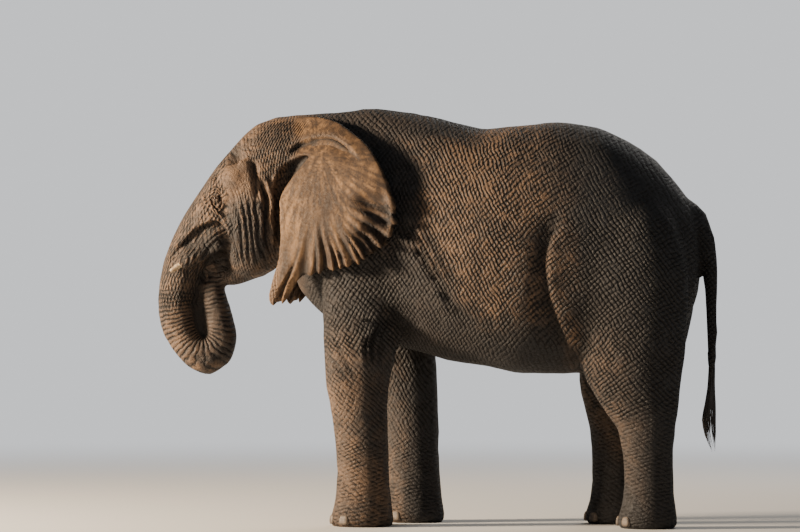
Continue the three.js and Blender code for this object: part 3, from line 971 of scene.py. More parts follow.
@dataclass
class EarPlate:
    """A broad thin ear, given by its outline in the side view and how far out it stands."""

    middle: Point2 = (-0.734, 2.455)
    outline: tuple[Point2, ...] = (
        (-1.124, 3.060), (-0.960, 3.112), (-0.746, 3.073), (-0.630, 3.010), (-0.493, 2.911), (-0.407, 2.816),
        (-0.333, 2.690), (-0.265, 2.540), (-0.220, 2.400), (-0.207, 2.310), (-0.222, 2.258), (-0.290, 2.150),
        (-0.375, 2.085), (-0.450, 2.020), (-0.540, 1.970), (-0.640, 1.945), (-0.760, 1.925), (-0.880, 1.895),
        (-0.985, 1.858), (-1.055, 1.745), (-1.105, 1.690), (-1.140, 1.672), (-1.200, 1.684), (-1.222, 1.740),
        (-1.196, 1.850), (-1.155, 2.000), (-1.138, 2.162), (-1.140, 2.330), (-1.150, 2.480), (-1.189, 2.595),
        (-1.224, 2.755), (-1.214, 2.935),
    )
    root_low: float = 1.655
    root_high: float = 3.125
    root_out: tuple[float, ...] = (0.365, 0.412, 0.425, 0.412, 0.385, 0.325, 0.210, 0.050)
    front: float = -1.154  # where it starts to flare
    rear: float = -0.214
    flare: float = 0.262
    most_out: float = 0.693
    thick: float = 0.013  # half of it at the middle
    rim: float = 0.009
    steps: tuple[int, int] = (420, 80)  # round the outline, and from the middle to the rim
    fan: Point2 = (-0.830, 2.560)  # where the pleats spread from
    pleats: tuple[Point2, ...] = (
        (-1.160, 1.690), (-1.090, 1.700), (-0.878, 1.877), (-0.825, 1.893), (-0.707, 1.928), (-0.643, 1.933),
        (-0.579, 1.950), (-0.489, 1.975), (-0.451, 1.999), (-0.398, 2.052), (-0.330, 2.110), (-0.245, 2.200),
        (-0.214, 2.300), (-0.216, 2.400),
    )
    pleat_rise: float = 0.027
    scallop: float = 0.020
    hollow: float = 0.055  # how far the plate sinks inside its rolled rear rim

    def reach(self, angle: np.ndarray) -> np.ndarray:
        """How far the outline lies from the middle, at angles round it.

        Args:
            angle: The angles.

        Returns:
            The distance at each angle.
        """
        line = smooth_line(self.outline, 1200, closed=True) - np.array(self.middle)
        angles = np.arctan2(line[:, 1], line[:, 0])
        order = np.argsort(angles)
        return np.interp(angle, angles[order], np.hypot(*line.T)[order], period=2 * math.pi)

    def pleat(self, x: np.ndarray, z: np.ndarray) -> tuple[np.ndarray, np.ndarray]:
        """Finds places among the pleats.

        Args:
            x: Places along the animal.
            z: Their heights.

        Returns:
            The height of the pleats at each place, from -1 to 1, and how far down it is from
            where they spread, from 0 to 1 and beyond at the rim.
        """
        ends = np.array(self.pleats) - np.array(self.fan)
        turns = np.arctan2(ends[:, 1], ends[:, 0])
        lengths = np.hypot(*ends.T)
        dx, dz = x - self.fan[0], z - self.fan[1]
        turn = np.arctan2(dz, dx)
        bend = 0.025 * np.sin(np.hypot(dx, dz) * 9)  # pleats aren't quite straight
        index = np.interp(turn + bend, turns, np.arange(len(turns)))
        down = np.hypot(dx, dz) / np.interp(turn, turns, lengths)
        inside = ramp(turns[0] - 0.16, turns[0] - 0.02, turn) * ramp(turns[-1] + 0.22, turns[-1] + 0.04, turn)
        start = 0.16 * np.sin(index * 2.4) * (1 - down)  # some start higher than others
        own = 0.80 + 0.34 * np.sin(index * 1.9 + 0.6)  # and some are deeper
        fine = 0.40 * np.cos(2 * math.pi * 2.0 * index + 1.9 * np.sin(index * 1.3)) * ramp(0.62, 0.95, down)
        return (np.cos(2 * math.pi * index) * own + fine) * inside, down + start

    def streaks(self, x: np.ndarray, z: np.ndarray) -> np.ndarray:
        """Lays lighter streaks that spread from where the pleats spread, and lightens the ear's top and the
        front of its lower part.

        Args:
            x: Places along the animal.
            z: Their heights.

        Returns:
            How light each place is, from 0 to 1.
        """
        dx, dz = x - self.fan[0], z - self.fan[1] - 0.25
        polar = np.stack([np.arctan2(dz, dx) * 1.6, 0.35 * np.hypot(dx, dz)], 1)
        level = 0.42 + 0.50 * Noise(31, 0.16).at(polar) + 0.30 * Noise(32, 0.055).at(polar)
        level = level + 0.40 * ramp(2.84, 2.96, z) + 0.45 * ramp(-0.80, -1.05, x) * ramp(2.75, 2.60, z)
        return np.clip(level, 0, 1)

    def out(self, x: np.ndarray, z: np.ndarray) -> np.ndarray:
        """How far out from the mid-plane the ear's middle surface lies.

        Args:
            x: Places along the animal.
            z: Their heights.

        Returns:
            The distance from the mid-plane at each place.
        """
        heights = np.linspace(self.root_low, self.root_high, len(self.root_out))
        line = smooth_line(np.stack([heights, self.root_out], 1), 120)
        root = np.interp(z, line[:, 0], line[:, 1])
        back = np.clip((x - self.front) / (self.rear - self.front), 0, 1)
        wave, down = self.pleat(x, z)
        folds = self.pleat_rise * wave * ramp(0.34, 0.90, down)
        behind = ramp(-0.52, -0.38, x + 0.05 * np.sin(z * 21)) * band(2.0, 2.44, 0.12, z)
        rim = np.exp(-(((x - self.rear_edge(z)) / 0.036) ** 2)) * band(2.16, 2.62, 0.10, z)
        flare = self.flare * np.sin(back * math.pi / 2) ** 1.1
        total = root + flare + folds - self.hollow * behind * (1 - rim)
        return self.most_out - 0.008 * np.logaddexp(0.0, (self.most_out - total) / 0.008)

    def rear_edge(self, z: np.ndarray) -> np.ndarray:
        """Where the middle of the rolled rear rim lies along the animal, by height."""
        return np.interp(z, (2.10, 2.25, 2.40, 2.55, 2.70), (-0.285, -0.228, -0.232, -0.275, -0.340))

    def mesh(self) -> bpy.types.Mesh:
        """Builds the left ear as a closed shell.

        Returns:
            The mesh.
        """
        turns, rings = self.steps
        bm = bmesh.new()
        bmesh.ops.create_grid(bm, x_segments=turns, y_segments=2 * rings, size=0.5)
        mesh = mesh_from(bm, "ear_plate")
        surface = Surface(mesh)
        angle = 2 * math.pi * surface.at[:, 0]
        share = 1 - 2 * np.abs(surface.at[:, 1])
        face = -np.sign(np.round(surface.at[:, 1], 6))
        reach = self.reach(angle)
        rim_x, rim_z = self.middle[0] + reach * np.cos(angle), self.middle[1] + reach * np.sin(angle)
        wave, down = self.pleat(rim_x, rim_z)
        reach = (reach + self.scallop * (wave - 0.4) * ramp(0.75, 0.95, down) * (np.abs(wave) > 0)) * share
        px = self.middle[0] + reach * np.cos(angle)
        pz = self.middle[1] + reach * np.sin(angle)
        half = (self.rim + (self.thick - self.rim) * np.cos(share * math.pi / 2)) * face
        half *= np.clip((1 - share) * 40, 0, 1) ** 0.5
        step = 0.004
        slope_x = (self.out(px + step, pz) - self.out(px - step, pz)) / (2 * step)
        slope_z = (self.out(px, pz + step) - self.out(px, pz - step)) / (2 * step)
        half *= np.minimum(np.sqrt(1 + slope_x**2 + slope_z**2), 2.4)
        surface.at = np.stack([px, -(self.out(px, pz) + half), pz], 1)
        surface.store()
        return facing_out(mesh)

    def share(self, at: np.ndarray) -> np.ndarray:
        """How much each point belongs to an ear, from 0 to 1.

        Args:
            at: The points of the skin.

        Returns:
            The share of ear at each point.
        """
        x, y, z = at.T
        off = np.abs(np.abs(y) - self.out(x, z))
        dx, dz = x - self.middle[0], z - self.middle[1]
        inside = self.reach(np.arctan2(dz, dx)) - np.hypot(dx, dz)
        front = np.interp(z, (2.60, 2.72, 2.85, 3.05), (-1.13, -1.02, -1.03, -1.06))
        return ramp(0.055, 0.030, off) * ramp(-0.03, 0.0, inside) * ramp(-0.04, 0.03, x - front)


# ---- skin ---------------------------------------------------------------------------------


@dataclass
class TrunkPath:
    """The middle line of face and trunk, in the mid-plane, with its usual radius."""

    stations: tuple[Point3, ...] = (
        (-1.249, 2.700, 0.370), (-1.425, 2.607, 0.300), (-1.617, 2.409, 0.270), (-1.792, 2.180, 0.215),
        (-1.936, 1.940, 0.165), (-1.996, 1.708, 0.140), (-1.966, 1.511, 0.138), (-1.889, 1.363, 0.122),
        (-1.764, 1.277, 0.140), (-1.659, 1.370, 0.120), (-1.670, 1.515, 0.108), (-1.702, 1.655, 0.100),
        (-1.734, 1.780, 0.095), (-1.750, 1.847, 0.085), (-1.756, 1.900, 0.085),
    )

    def measure(self, at: np.ndarray) -> tuple[np.ndarray, np.ndarray, np.ndarray]:
        """Measures points against the line.

        Args:
            at: The points.

        Returns:
            How far along the line each point is, how far from it by its radius, and the way
            along the line there.
        """
        line = smooth_line(self.stations, 160)
        steps = np.diff(line[:, :2], axis=0)
        along = np.concatenate([[0], np.cumsum(np.hypot(*steps.T))])
        best, index = nearest((
            ((at[:, 0] - x) ** 2 + (at[:, 2] - z) ** 2 + at[:, 1] ** 2) / radius**2 for x, z, radius in line
        ), len(at))
        tangent = np.gradient(line[:, :2], axis=0)
        tangent /= np.linalg.norm(tangent, axis=1, keepdims=True)
        from_line = at[:, [0, 2]] - line[index, :2]
        ahead = np.einsum("ij,ij->i", from_line, tangent[index])
        way = np.stack([tangent[index, 0], np.zeros(len(at)), tangent[index, 1]], 1)
        return along[index] + ahead, np.sqrt(best), way

    def share(self, at: np.ndarray, start: float = 0.85, full: float = 1.15) -> np.ndarray:
        """How much each point belongs to the free trunk, from 0 to 1."""
        along, near, _ = self.measure(at)
        return ramp(start, full, along) * (near < 1.6) * (at[:, 0] < -1.4)


@dataclass(frozen=True)
class Crease:
    """A valley pressed into both sides of the animal along a line in the side view."""

    path: tuple[Point2, ...]
    width: float
    depth: float
    lip: float = 0.35  # how high its edges rise, by its depth


@dataclass(frozen=True)
class Fold:
    """A step in the skin along a line in the side view, high on the line's left."""

    path: tuple[Point2, ...]
    high: float
    high_reach: float
    low: float
    low_reach: float


@dataclass(frozen=True)
class Swelling:
    """A round rise, or a hollow, on both sides of the animal, placed in the side view."""

    middle: Point2
    reach: Point2
    height: float


CREASES = (
    # from the bulge of the temple down behind it
    Crease(((-1.365, 2.790), (-1.345, 2.700), (-1.322, 2.600), (-1.315, 2.460)), 0.026, 0.030, 0.2),
    # behind the cheek: a thin bright ridge with a gap before it
    Crease(((-1.300, 2.660), (-1.275, 2.560), (-1.250, 2.440), (-1.258, 2.280),
            (-1.250, 2.060)), 0.016, 0.030),
    Crease(((-1.262, 2.640), (-1.232, 2.560), (-1.212, 2.448), (-1.224, 2.340), (-1.210, 2.250),
            (-1.214, 2.120),
            (-1.228, 1.980)), 0.012, -0.016, 0.2),
    # the rim of the eye's hollow, down and back to the corner of the mouth
    Crease(((-1.764, 2.540), (-1.755, 2.486), (-1.720, 2.436), (-1.678, 2.402), (-1.635, 2.372),
            (-1.597, 2.342),
            (-1.556, 2.270), (-1.530, 2.190)), 0.011, -0.013, 0.5),
    # the long straps behind the foreleg
    Crease(((-0.200, 2.320), (-0.130, 2.200), (0.010, 2.000), (0.110, 1.830), (0.230, 1.655), (0.400, 1.480)),
           0.030, 0.028, 0.4),
    Crease(((-0.165, 2.300), (-0.090, 2.180), (0.040, 1.985), (0.150, 1.800),
            (0.270, 1.630)), 0.013, -0.022, 0.4),
    Crease(((-0.120, 2.290), (-0.030, 2.150), (0.070, 1.980), (0.170, 1.800)), 0.014, 0.018, 0.6),
    # ridges that sweep down round the elbow
    Crease(((-0.320, 1.600), (-0.345, 1.500), (-0.375, 1.426), (-0.390, 1.321),
            (-0.368, 1.170)), 0.013, -0.024, 0.7),
    Crease(((-0.345, 1.610), (-0.400, 1.500), (-0.440, 1.426), (-0.444, 1.306),
            (-0.420, 1.190)), 0.012, -0.020, 0.7),
    Crease(((-0.400, 1.580), (-0.450, 1.470), (-0.495, 1.380), (-0.480, 1.290),
            (-0.457, 1.200)), 0.012, -0.017, 0.7),
    # across the forearm
    Crease(((-0.777, 1.322), (-0.720, 1.240), (-0.654, 1.174), (-0.580, 1.080),
            (-0.518, 0.986)), 0.013, 0.013),
    Crease(((-0.740, 1.440), (-0.660, 1.340), (-0.590, 1.180), (-0.530, 1.100)), 0.012, 0.012),
)
FOLDS = (
    # the bulge of the temple, below its pit
    Fold(((-1.395, 2.800), (-1.440, 2.772), (-1.490, 2.752), (-1.561, 2.723), (-1.604, 2.681),
          (-1.636, 2.638),
          (-1.640, 2.580)), 0.022, 0.085, 0.030, 0.042),
    # the rear edge of that pit
    Fold(((-1.492, 2.960), (-1.478, 2.900), (-1.470, 2.840), (-1.466, 2.770), (-1.460, 2.700)),
         0.012, 0.055, 0.016, 0.034),
    # from the tusk up under the cheek, and down to the corner of the mouth
    Fold(((-2.050, 1.930), (-2.000, 2.065), (-1.913, 2.165), (-1.836, 2.228), (-1.743, 2.279),
          (-1.653, 2.305),
          (-1.592, 2.268), (-1.551, 2.190), (-1.520, 2.080), (-1.500, 2.000)), 0.010, 0.050, 0.040, 0.075),
    # the top roll of the ear
    Fold(((-1.100, 2.810), (-1.040, 2.872), (-0.974, 2.905), (-0.845, 2.930), (-0.727, 2.922),
          (-0.600, 2.850),
          (-0.480, 2.740)), 0.024, 0.080, 0.020, 0.065),
    # the front edge of the thigh
    Fold(((1.060, 2.380), (1.000, 2.277), (0.940, 2.128), (0.920, 1.941), (0.953, 1.716), (1.036, 1.455),
          (1.112, 1.230)), 0.014, 0.110, 0.030, 0.120),
)
SWELLINGS = (
    Swelling((-1.522, 2.805), (0.060, 0.074), -0.072),  # pit of the temple
    Swelling((-1.500, 2.650), (0.100, 0.085), 0.034),  # bulge behind the eye
    Swelling((-1.700, 2.610), (0.075, 0.040), 0.014),  # brow
    Swelling((-1.720, 2.130), (0.170, 0.105), -0.056),  # under the cheek, beside the mouth
    Swelling((-0.350, 2.450), (0.240, 0.420), 0.020),  # shoulder blade
    Swelling((0.960, 1.800), (0.130, 0.380), -0.030),  # hollow of the flank
    Swelling((1.330, 2.760), (0.170, 0.140), 0.020),  # point of the hip
    Swelling((0.350, 2.250), (0.420, 0.500), 0.020),  # ribs
)
EYE_CREASES = (
    # the slit runs on past both corners
    Crease(((-1.650, 2.4835), (-1.662, 2.4850), (-1.676, 2.4860), (-1.690, 2.4890)), 0.0035, 0.0080, 0.2),
    Crease(((-1.622, 2.4830), (-1.611, 2.4845), (-1.600, 2.4870), (-1.590, 2.4900)), 0.0035, 0.0080, 0.2),
    # round the lower lid
    Crease(((-1.690, 2.500), (-1.682, 2.470), (-1.672, 2.440), (-1.652, 2.412), (-1.627, 2.398),
            (-1.608, 2.418),
            (-1.598, 2.455), (-1.598, 2.490)), 0.0060, 0.0130, 0.4),
    Crease(((-1.668, 2.458), (-1.655, 2.441), (-1.635, 2.432), (-1.617, 2.440), (-1.608, 2.455)),
           0.0035, 0.0035, 0.4),
    # the two folds of the upper lid, and the edge above them
    Crease(((-1.676, 2.508), (-1.660, 2.520), (-1.640, 2.525), (-1.620, 2.518), (-1.606, 2.504)),
           0.0038, 0.0055, 0.5),
    Crease(((-1.686, 2.518), (-1.668, 2.538), (-1.644, 2.545), (-1.618, 2.536), (-1.600, 2.514)),
           0.0042, 0.0060, 0.5),
    Crease(((-1.694, 2.490), (-1.692, 2.530), (-1.674, 2.560), (-1.644, 2.570), (-1.612, 2.556),
            (-1.594, 2.520)),
           0.0060, 0.0110, 0.4),
)


STROKE_STEPS = 18  # from each point of a line to the next


class Sculptor:
    """Presses folds into a surface, the same on both sides."""

    def __init__(self, surface: Surface) -> None:
        """Takes the surface as it is before its folds.

        Args:
            surface: The surface.
        """
        self.surface = surface
        self.normal = surface.normals()
        self.x, y, self.z = surface.at.T
        self.side = ramp(0.2, 0.55, np.abs(self.normal[:, 1]))
        self.out = np.abs(y)
        self.push = np.zeros(surface.count)

    def stroke(self, path: tuple[Point2, ...], reach: float) -> tuple[np.ndarray, np.ndarray, np.ndarray]:
        """Measures the points near a line in the side view.

        Args:
            path: The line.
            reach: How far from it a point may lie.

        Returns:
            The indices of the points near it, their distances from it and the share of its
            length at which each lies.
        """
        line = smooth_line(path, STROKE_STEPS * len(path))
        low, high = line.min(0) - reach, line.max(0) + reach
        inside = (self.x > low[0]) & (self.x < high[0]) & (self.z > low[1]) & (self.z < high[1])
        near = np.flatnonzero(inside)
        best, index = nearest((np.hypot(self.x[near] - x, self.z[near] - z) for x, z in line), len(near))
        return near, best, index / (len(line) - 1)

    @staticmethod
    def tapered(share: np.ndarray) -> np.ndarray:
        """Falls from 1 to 0 toward both ends of a line."""
        return ramp(0.0, 0.25, share) * ramp(1.0, 0.75, share)

    def press(self, crease: Crease) -> None:
        """Presses one crease.

        Args:
            crease: The crease.
        """
        near, gap, share = self.stroke(crease.path, 4 * crease.width)
        across = gap / crease.width
        profile = crease.lip * np.exp(-((across - 2.0) ** 2)) - np.exp(-(across**2))
        self.push[near] += crease.depth * profile * self.tapered(share) * self.side[near]

    def step(self, fold: Fold) -> None:
        """Presses one step.

        Args:
            fold: The step.
        """
        near, gap, share = self.stroke(fold.path, 2.5 * max(fold.high_reach, fold.low_reach))
        line = smooth_line(fold.path, STROKE_STEPS * len(fold.path))
        way = np.gradient(line, axis=0)
        way /= np.linalg.norm(way, axis=1, keepdims=True)
        index = np.round(share * (len(line) - 1)).astype(int)
        dx, dz = self.x[near] - line[index, 0], self.z[near] - line[index, 1]
        left = dz * way[index, 0] - dx * way[index, 1]
        rise = fold.high * np.exp(-((gap / fold.high_reach) ** 2))
        fall = -fold.low * np.exp(-((gap / fold.low_reach) ** 2))
        height = fall + (rise - fall) * ramp(-0.008, 0.012, left)
        self.push[near] += height * self.tapered(share) * self.side[near]

    def swell(self, swelling: Swelling) -> None:
        """Raises one swelling, or sinks a hollow.

        Args:
            swelling: The swelling.
        """
        dx = (self.x - swelling.middle[0]) / swelling.reach[0]
        dz = (self.z - swelling.middle[1]) / swelling.reach[1]
        self.push += swelling.height * np.exp(-(dx**2) - dz**2) * self.side

    def roll(self, phase: np.ndarray, depth: np.ndarray) -> None:
        """Raises round backs between sharp valleys, one for each whole step of the phase."""
        self.push += depth * (np.abs(np.sin(phase * math.pi)) ** 0.7 - 0.6)

    def finish(self) -> None:
        """Moves the surface by what was pressed."""
        self.surface.at += self.normal * self.push[:, None]
        self.surface.store()


@dataclass
class Family:
    """Parallel wrinkles: how steeply their phase rises, as a vector, and how deep they are."""

    slope: np.ndarray
    depth: np.ndarray

    @staticmethod
    def straight(degrees: float | np.ndarray, spacing: float, depth: np.ndarray) -> "Family":
        """Wrinkles that rise to the rear at an angle in the side view, the same all over or not."""
        way = np.broadcast_to(np.radians(degrees), depth.shape)
        return Family(np.stack([-np.sin(way), np.zeros(len(way)), np.cos(way)], 1) / spacing, depth)

    @staticmethod
    def arcs(at: np.ndarray, middle: Point2, spacing: float, depth: np.ndarray) -> "Family":
        """Wrinkles in arcs round a point in the side view.

        Args:
            at: The points of the skin.
            middle: The point that the arcs go round.
            spacing: From one wrinkle to the next. It is less than 0 where the phase falls outward.
            depth: How deep they are at each point.

        Returns:
            The family.
        """
        dx, dz = at[:, 0] - middle[0], at[:, 2] - middle[1]
        radius = np.maximum(np.hypot(dx, dz), 0.05) * spacing
        return Family(np.stack([dx / radius, np.zeros(len(at)), dz / radius], 1), depth)

    @staticmethod
    def blended(families: Sequence["Family"], surface: "Surface") -> tuple[np.ndarray, np.ndarray]:
        """Joins families into one set of wrinkles that runs on from one to the next.

        Args:
            families: The families.
            surface: What they lie on.

        Returns:
            The phase and the depth at each point.
        """
        total = sum(family.depth for family in families)
        slope = sum(family.slope * family.depth[:, None] for family in families)
        slope = slope / (total + 0.02 * total.max())[:, None]
        firm = ramp(0.0, 0.3 * total.max(), total)
        return surface.matched(slope, firm), np.minimum(total, max(family.depth.max() for family in families))


@dataclass
class EyeSocket:
    """The place of the eyes, with the lids that close round them."""

    middle: Point3 = (-1.6370, 0.3180, 2.4800)
    gaze: Point3 = (-0.345, 0.930, 0.060)
    radius: float = 0.0235
    half_length: float = 0.0240
    open_up: float = 0.0095
    open_down: float = 0.0080
    lid_height: float = 0.0285  # how far the lids stand out from the eye's middle
    lid_reach: Point3 = (0.0330, 0.0420, 0.0400)  # how far they spread along the slit, up and down
    bed: float = 0.0100  # where the skin round them lies, from the eye's middle
    hollow: float = 0.0070
    slant: float = 3.0  # degrees that the slit rises toward the front
    splits: tuple[float, ...] = (0.125, 0.100, 0.048)  # within these distances faces are split, once for each
    measured: Point2 = (0.060, 0.110)  # between these the skin round the eye is measured
    blend: Point2 = (0.105, 0.060)  # from here to here the lids take over
    lid_edge: Point2 = (0.0022, 0.0030)  # how high the edge of the upper lid is, and how wide

    def near(self, at: np.ndarray, reach: float = 0.100) -> np.ndarray:
        """Is 1 at the eyes and falls to 0 at a distance.

        Args:
            at: The points of the skin.
            reach: The distance.

        Returns:
            The share at each point.
        """
        folded = at.copy()
        folded[:, 1] = np.abs(folded[:, 1])
        gap = np.linalg.norm(folded - np.array(self.middle), axis=1)
        return ramp(reach, reach * 0.6, gap)

    def refine(self, mesh: bpy.types.Mesh) -> bpy.types.Mesh:
        """Splits the faces round the eyes, fine enough for lids.

        Args:
            mesh: The mesh of the skin. It is removed.

        Returns:
            The finer mesh.
        """
        for reach in self.splits:
            inside = self.near(Surface(mesh).at, reach) > 0
            bm = bmesh_of(mesh)
            chosen = [edge for i in np.flatnonzero(inside) for edge in bm.verts[i].link_edges]
            bmesh.ops.subdivide_edges(bm, edges=list(set(chosen)), cuts=1, use_grid_fill=True, smooth=0.0)
            mesh = mesh_from(bm, "refined")
        return mesh

    def axes(self, side: Side) -> tuple[np.ndarray, np.ndarray, np.ndarray, np.ndarray]:
        """The middle of one eye, the way it looks, and the slit's two ways: forward and up.

        Args:
            side: The eye's side.

        Returns:
            The middle, and three directions of one metre: the gaze, forward and up.
        """
        turn = np.array([1, side.value, 1])
        gaze = np.array(self.gaze) / np.linalg.norm(self.gaze)
        ahead = np.array([-1.0, 0.0, math.tan(math.radians(self.slant))])
        ahead -= gaze * (ahead @ gaze)
        ahead /= np.linalg.norm(ahead)
        rise = np.cross(ahead, gaze)
        rise *= np.sign(rise[2])
        return np.array(self.middle) * turn, gaze * turn, ahead * turn, rise * turn

    def shape(self, surface: Surface) -> None:
        """Lays the skin round the eyes in a shallow hollow, raises the lids and opens the slits.

        Args:
            surface: The skin.
        """
        for side in Side:
            middle, gaze, ahead, rise = self.axes(side)
            offset = surface.at - middle
            near = np.flatnonzero((np.linalg.norm(offset, axis=1) < 0.14) & (offset @ gaze > -0.07))
            offset = offset[near]
            u, v, w = offset @ ahead, offset @ rise, offset @ gaze
            far = np.hypot(u, v)
            ring = (far > self.measured[0]) & (far < self.measured[1])
            terms = np.stack([np.ones(len(u)), u, v, u * u, u * v, v * v], 1)
            fit = np.linalg.lstsq(terms[ring], w[ring], rcond=None)[0]
            base = terms @ fit - fit[0] + self.bed - self.hollow * np.exp(-((far / 0.050) ** 2))
            log.info("eye %s: the skin lies %.4f m out, and moves to %.4f m", side.label, fit[0], self.bed)
            reach = np.where(v > 0, self.lid_reach[1], self.lid_reach[2])
            inside = np.maximum(1 - (u / self.lid_reach[0]) ** 2 - (v / reach) ** 2, 0)
            dome = self.lid_height * np.sqrt(inside)
            skin = 0.5 * (base + dome + np.hypot(base - dome, 0.005))
            gap = self.slit_gap(u, v)
            edge, wide = self.lid_edge
            skin += edge * np.exp(-(((gap - wide) / wide) ** 2)) * (v > 0)
            floor = 0.75 * np.sqrt(np.maximum(self.radius**2 - u * u - v * v, 0))
            skin = np.where(gap < 0, np.minimum(floor, skin), skin)
            surface.at[near] += gaze * ((skin - w) * ramp(*self.blend, far))[:, None]
        surface.store()

    def slit_gap(self, u: np.ndarray, v: np.ndarray) -> np.ndarray:
        """How far places lie outside the slit, less than 0 inside it.

        Args:
            u: Places forward of the eye's middle.
            v: How far above it they are.

        Returns:
            The distance at each place.
        """
        height = np.where(v > 0, self.open_up, self.open_down)
        height = height * (1 - np.minimum(np.abs(u) / self.half_length, 1) ** 2)
        past = np.maximum(np.abs(u) - self.half_length, 0)
        return np.where(past > 0, np.hypot(past, v), (np.abs(v) - height) * 0.9)


@dataclass
class Skin:
    """The one skin of the animal, from the soles to the ears."""

    voxel: float = 0.014  # of the first shape
    fine_voxel: float = 0.010  # of the whole with its ears
    most_faces: int = 196_000  # triangles left after thinning
    grow: float = 0.002  # how far the solids grow into each other
    pull: float = 0.6  # how far the softest points go toward their neighbours in one round
    widest: float = 0.719  # how far out from the mid-plane any of it lies
    rearmost: float = 2.140
    plug_radius: float = 0.034  # of the cones that fill the holes of the tusks
    ears: EarPlate = field(default_factory=EarPlate)
    trunk: TrunkPath = field(default_factory=TrunkPath)
    # the groove between cheek and ear, from the hollow under the hood down: x, out, z, width, depth
    groove: tuple[tuple[float, ...], ...] = (
        (-0.925, 0.410, 2.800, 0.012, 0.050), (-0.985, 0.390, 2.765, 0.036, 0.075),
        (-1.070, 0.375, 2.700, 0.062, 0.095), (-1.140, 0.365, 2.600, 0.056, 0.095),
        (-1.172, 0.365, 2.480, 0.036, 0.090), (-1.172, 0.365, 2.330, 0.026, 0.085),
        (-1.170, 0.350, 2.160, 0.026, 0.090), (-1.188, 0.330, 2.000, 0.026, 0.085),
        (-1.225, 0.310, 1.880, 0.020, 0.060),
    )
    eyes: EyeSocket = field(default_factory=EyeSocket)
    # flesh in the mid-plane, as paths of x, z, half width in the side view and half width across
    mouth: tuple[tuple[tuple[float, ...], ...], ...] = (
        # the roof of the mouth
        ((-1.540, 2.180, 0.110, 0.130), (-1.620, 2.070, 0.110, 0.115), (-1.700, 1.980, 0.080, 0.085),
         (-1.765, 1.925, 0.055, 0.040), (-1.815, 1.895, 0.040, 0.030)),
        # the lower lip, up to the tip of the trunk
        ((-1.480, 1.960, 0.090, 0.110), (-1.580, 1.915, 0.085, 0.105), (-1.670, 1.890, 0.060, 0.080),
         (-1.735, 1.880, 0.040, 0.045)),
        # where the trunk lies against itself
        ((-1.860, 1.930, 0.055, 0.030), (-1.850, 1.830, 0.055, 0.034), (-1.838, 1.690, 0.060, 0.036),
         (-1.815, 1.530, 0.065, 0.036), (-1.790, 1.430, 0.060, 0.030)),
    )
    # the two fingers at the tip of the trunk, in the same numbers
    fingers: tuple[tuple[tuple[float, ...], ...], ...] = (
        ((-1.795, 1.760, 0.045, 0.070), (-1.815, 1.830, 0.032, 0.066), (-1.838, 1.890, 0.022, 0.060),
         (-1.846, 1.925, 0.016, 0.046), (-1.848, 1.945, 0.009, 0.030)),
        ((-1.740, 1.770, 0.045, 0.070), (-1.750, 1.840, 0.030, 0.066), (-1.762, 1.900, 0.020, 0.060),
         (-1.760, 1.940, 0.015, 0.046), (-1.756, 1.960, 0.009, 0.030)),
    )

    def flesh(self) -> list[str]:
        """The names of the solids that the skin replaces."""
        apart = ("eye", "tusk", "nail", "hair")
        return [name for name in sorted(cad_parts) if not any(word in name for word in apart)]

    def rough_shape(self) -> Surface:
        """Grows the solids together, without their ears, and smooths their facets away.

        Returns:
            The smooth surface.
        """
        names = [name for name in self.flesh() if not name.startswith("ear_")]
        # nails and eyeballs fill their own beds here
        names += [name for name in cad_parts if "nail" in name or name.startswith("eye_")]
        copies = [node_copy(name, self.grow) for name in names]
        copies += [self.tusk_plug(side) for side in Side]
        copies += [self.mid_tube(path) for path in self.mouth]
        mesh = remeshed(join_meshes(copies, "body"), self.voxel)
        surface = Surface(mesh)
        reach = self.softness(surface.at)
        rounds = int(2 * (reach.max() / self.voxel) ** 2 / self.pull)
        surface.smooth(rounds, self.pull * (reach / reach.max()) ** 2)
        surface.at += surface.normals() * (0.35 * reach**0.5 * 0.05)[:, None]  # smoothing has thinned it
        surface.at[:, 0] = np.minimum(surface.at[:, 0], self.rearmost)
        surface.at[:, 2] = np.maximum(surface.at[:, 2], 0.0)
        surface.store()
        return surface

    def tusk_plug(self, side: Side) -> bpy.types.Mesh:
        """A cone that fills the hole of a tusk up to near its lip.

        Args:
            side: The tusk's side.

        Returns:
            The cone's mesh.
        """
        low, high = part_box("tusk_" + side.label)
        inner = Vector((high.x + 0.02, (low.y + high.y) / 2, high.z + 0.01))
        outer = Vector((low.x + 0.125, (low.y + high.y) / 2, low.z + 0.092))
        bm = bmesh.new()
        radius, length = self.plug_radius, (outer - inner).length
        bmesh.ops.create_cone(bm, cap_ends=True, segments=20, radius1=radius, radius2=radius, depth=length)
        turn = (outer - inner).to_track_quat("Z", "Y").to_matrix().to_4x4()
        bmesh.ops.transform(bm, matrix=Matrix.Translation((inner + outer) / 2) @ turn, verts=bm.verts)
        return mesh_from(bm, "tusk_plug")

    def mid_tube(self, path: Sequence[Sequence[float]]) -> bpy.types.Mesh:
        """Builds a tube in the mid-plane from x, z and its two half widths."""
        return tube([(x, 0.0, z, wide, across) for x, z, wide, across in path], 24, 32)

    def softness(self, at: np.ndarray) -> np.ndarray:
        """How far each place is smoothed: most on the barrel, least on the tail.

        Args:
            at: The points of the skin.

        Returns:
            How many metres the smoothing reaches at each point.
        """
        x, _, z = at.T
        reach = np.full(len(at), 0.062)
        reach = np.minimum(reach, 0.030 + 0.032 * ramp(1.0, 1.35, z))
        reach = np.minimum(reach, 0.026 + 0.036 * ramp(-1.15, -0.95, x))
        on_trunk = self.trunk.share(at)
        reach = reach * (1 - on_trunk) + (0.032 + 0.018 * ramp(1.48, 1.36, z)) * on_trunk
        reach = np.minimum(reach, 0.009 + 0.053 * ramp(2.08, 1.92, x))
        return np.maximum(reach, 0.008)

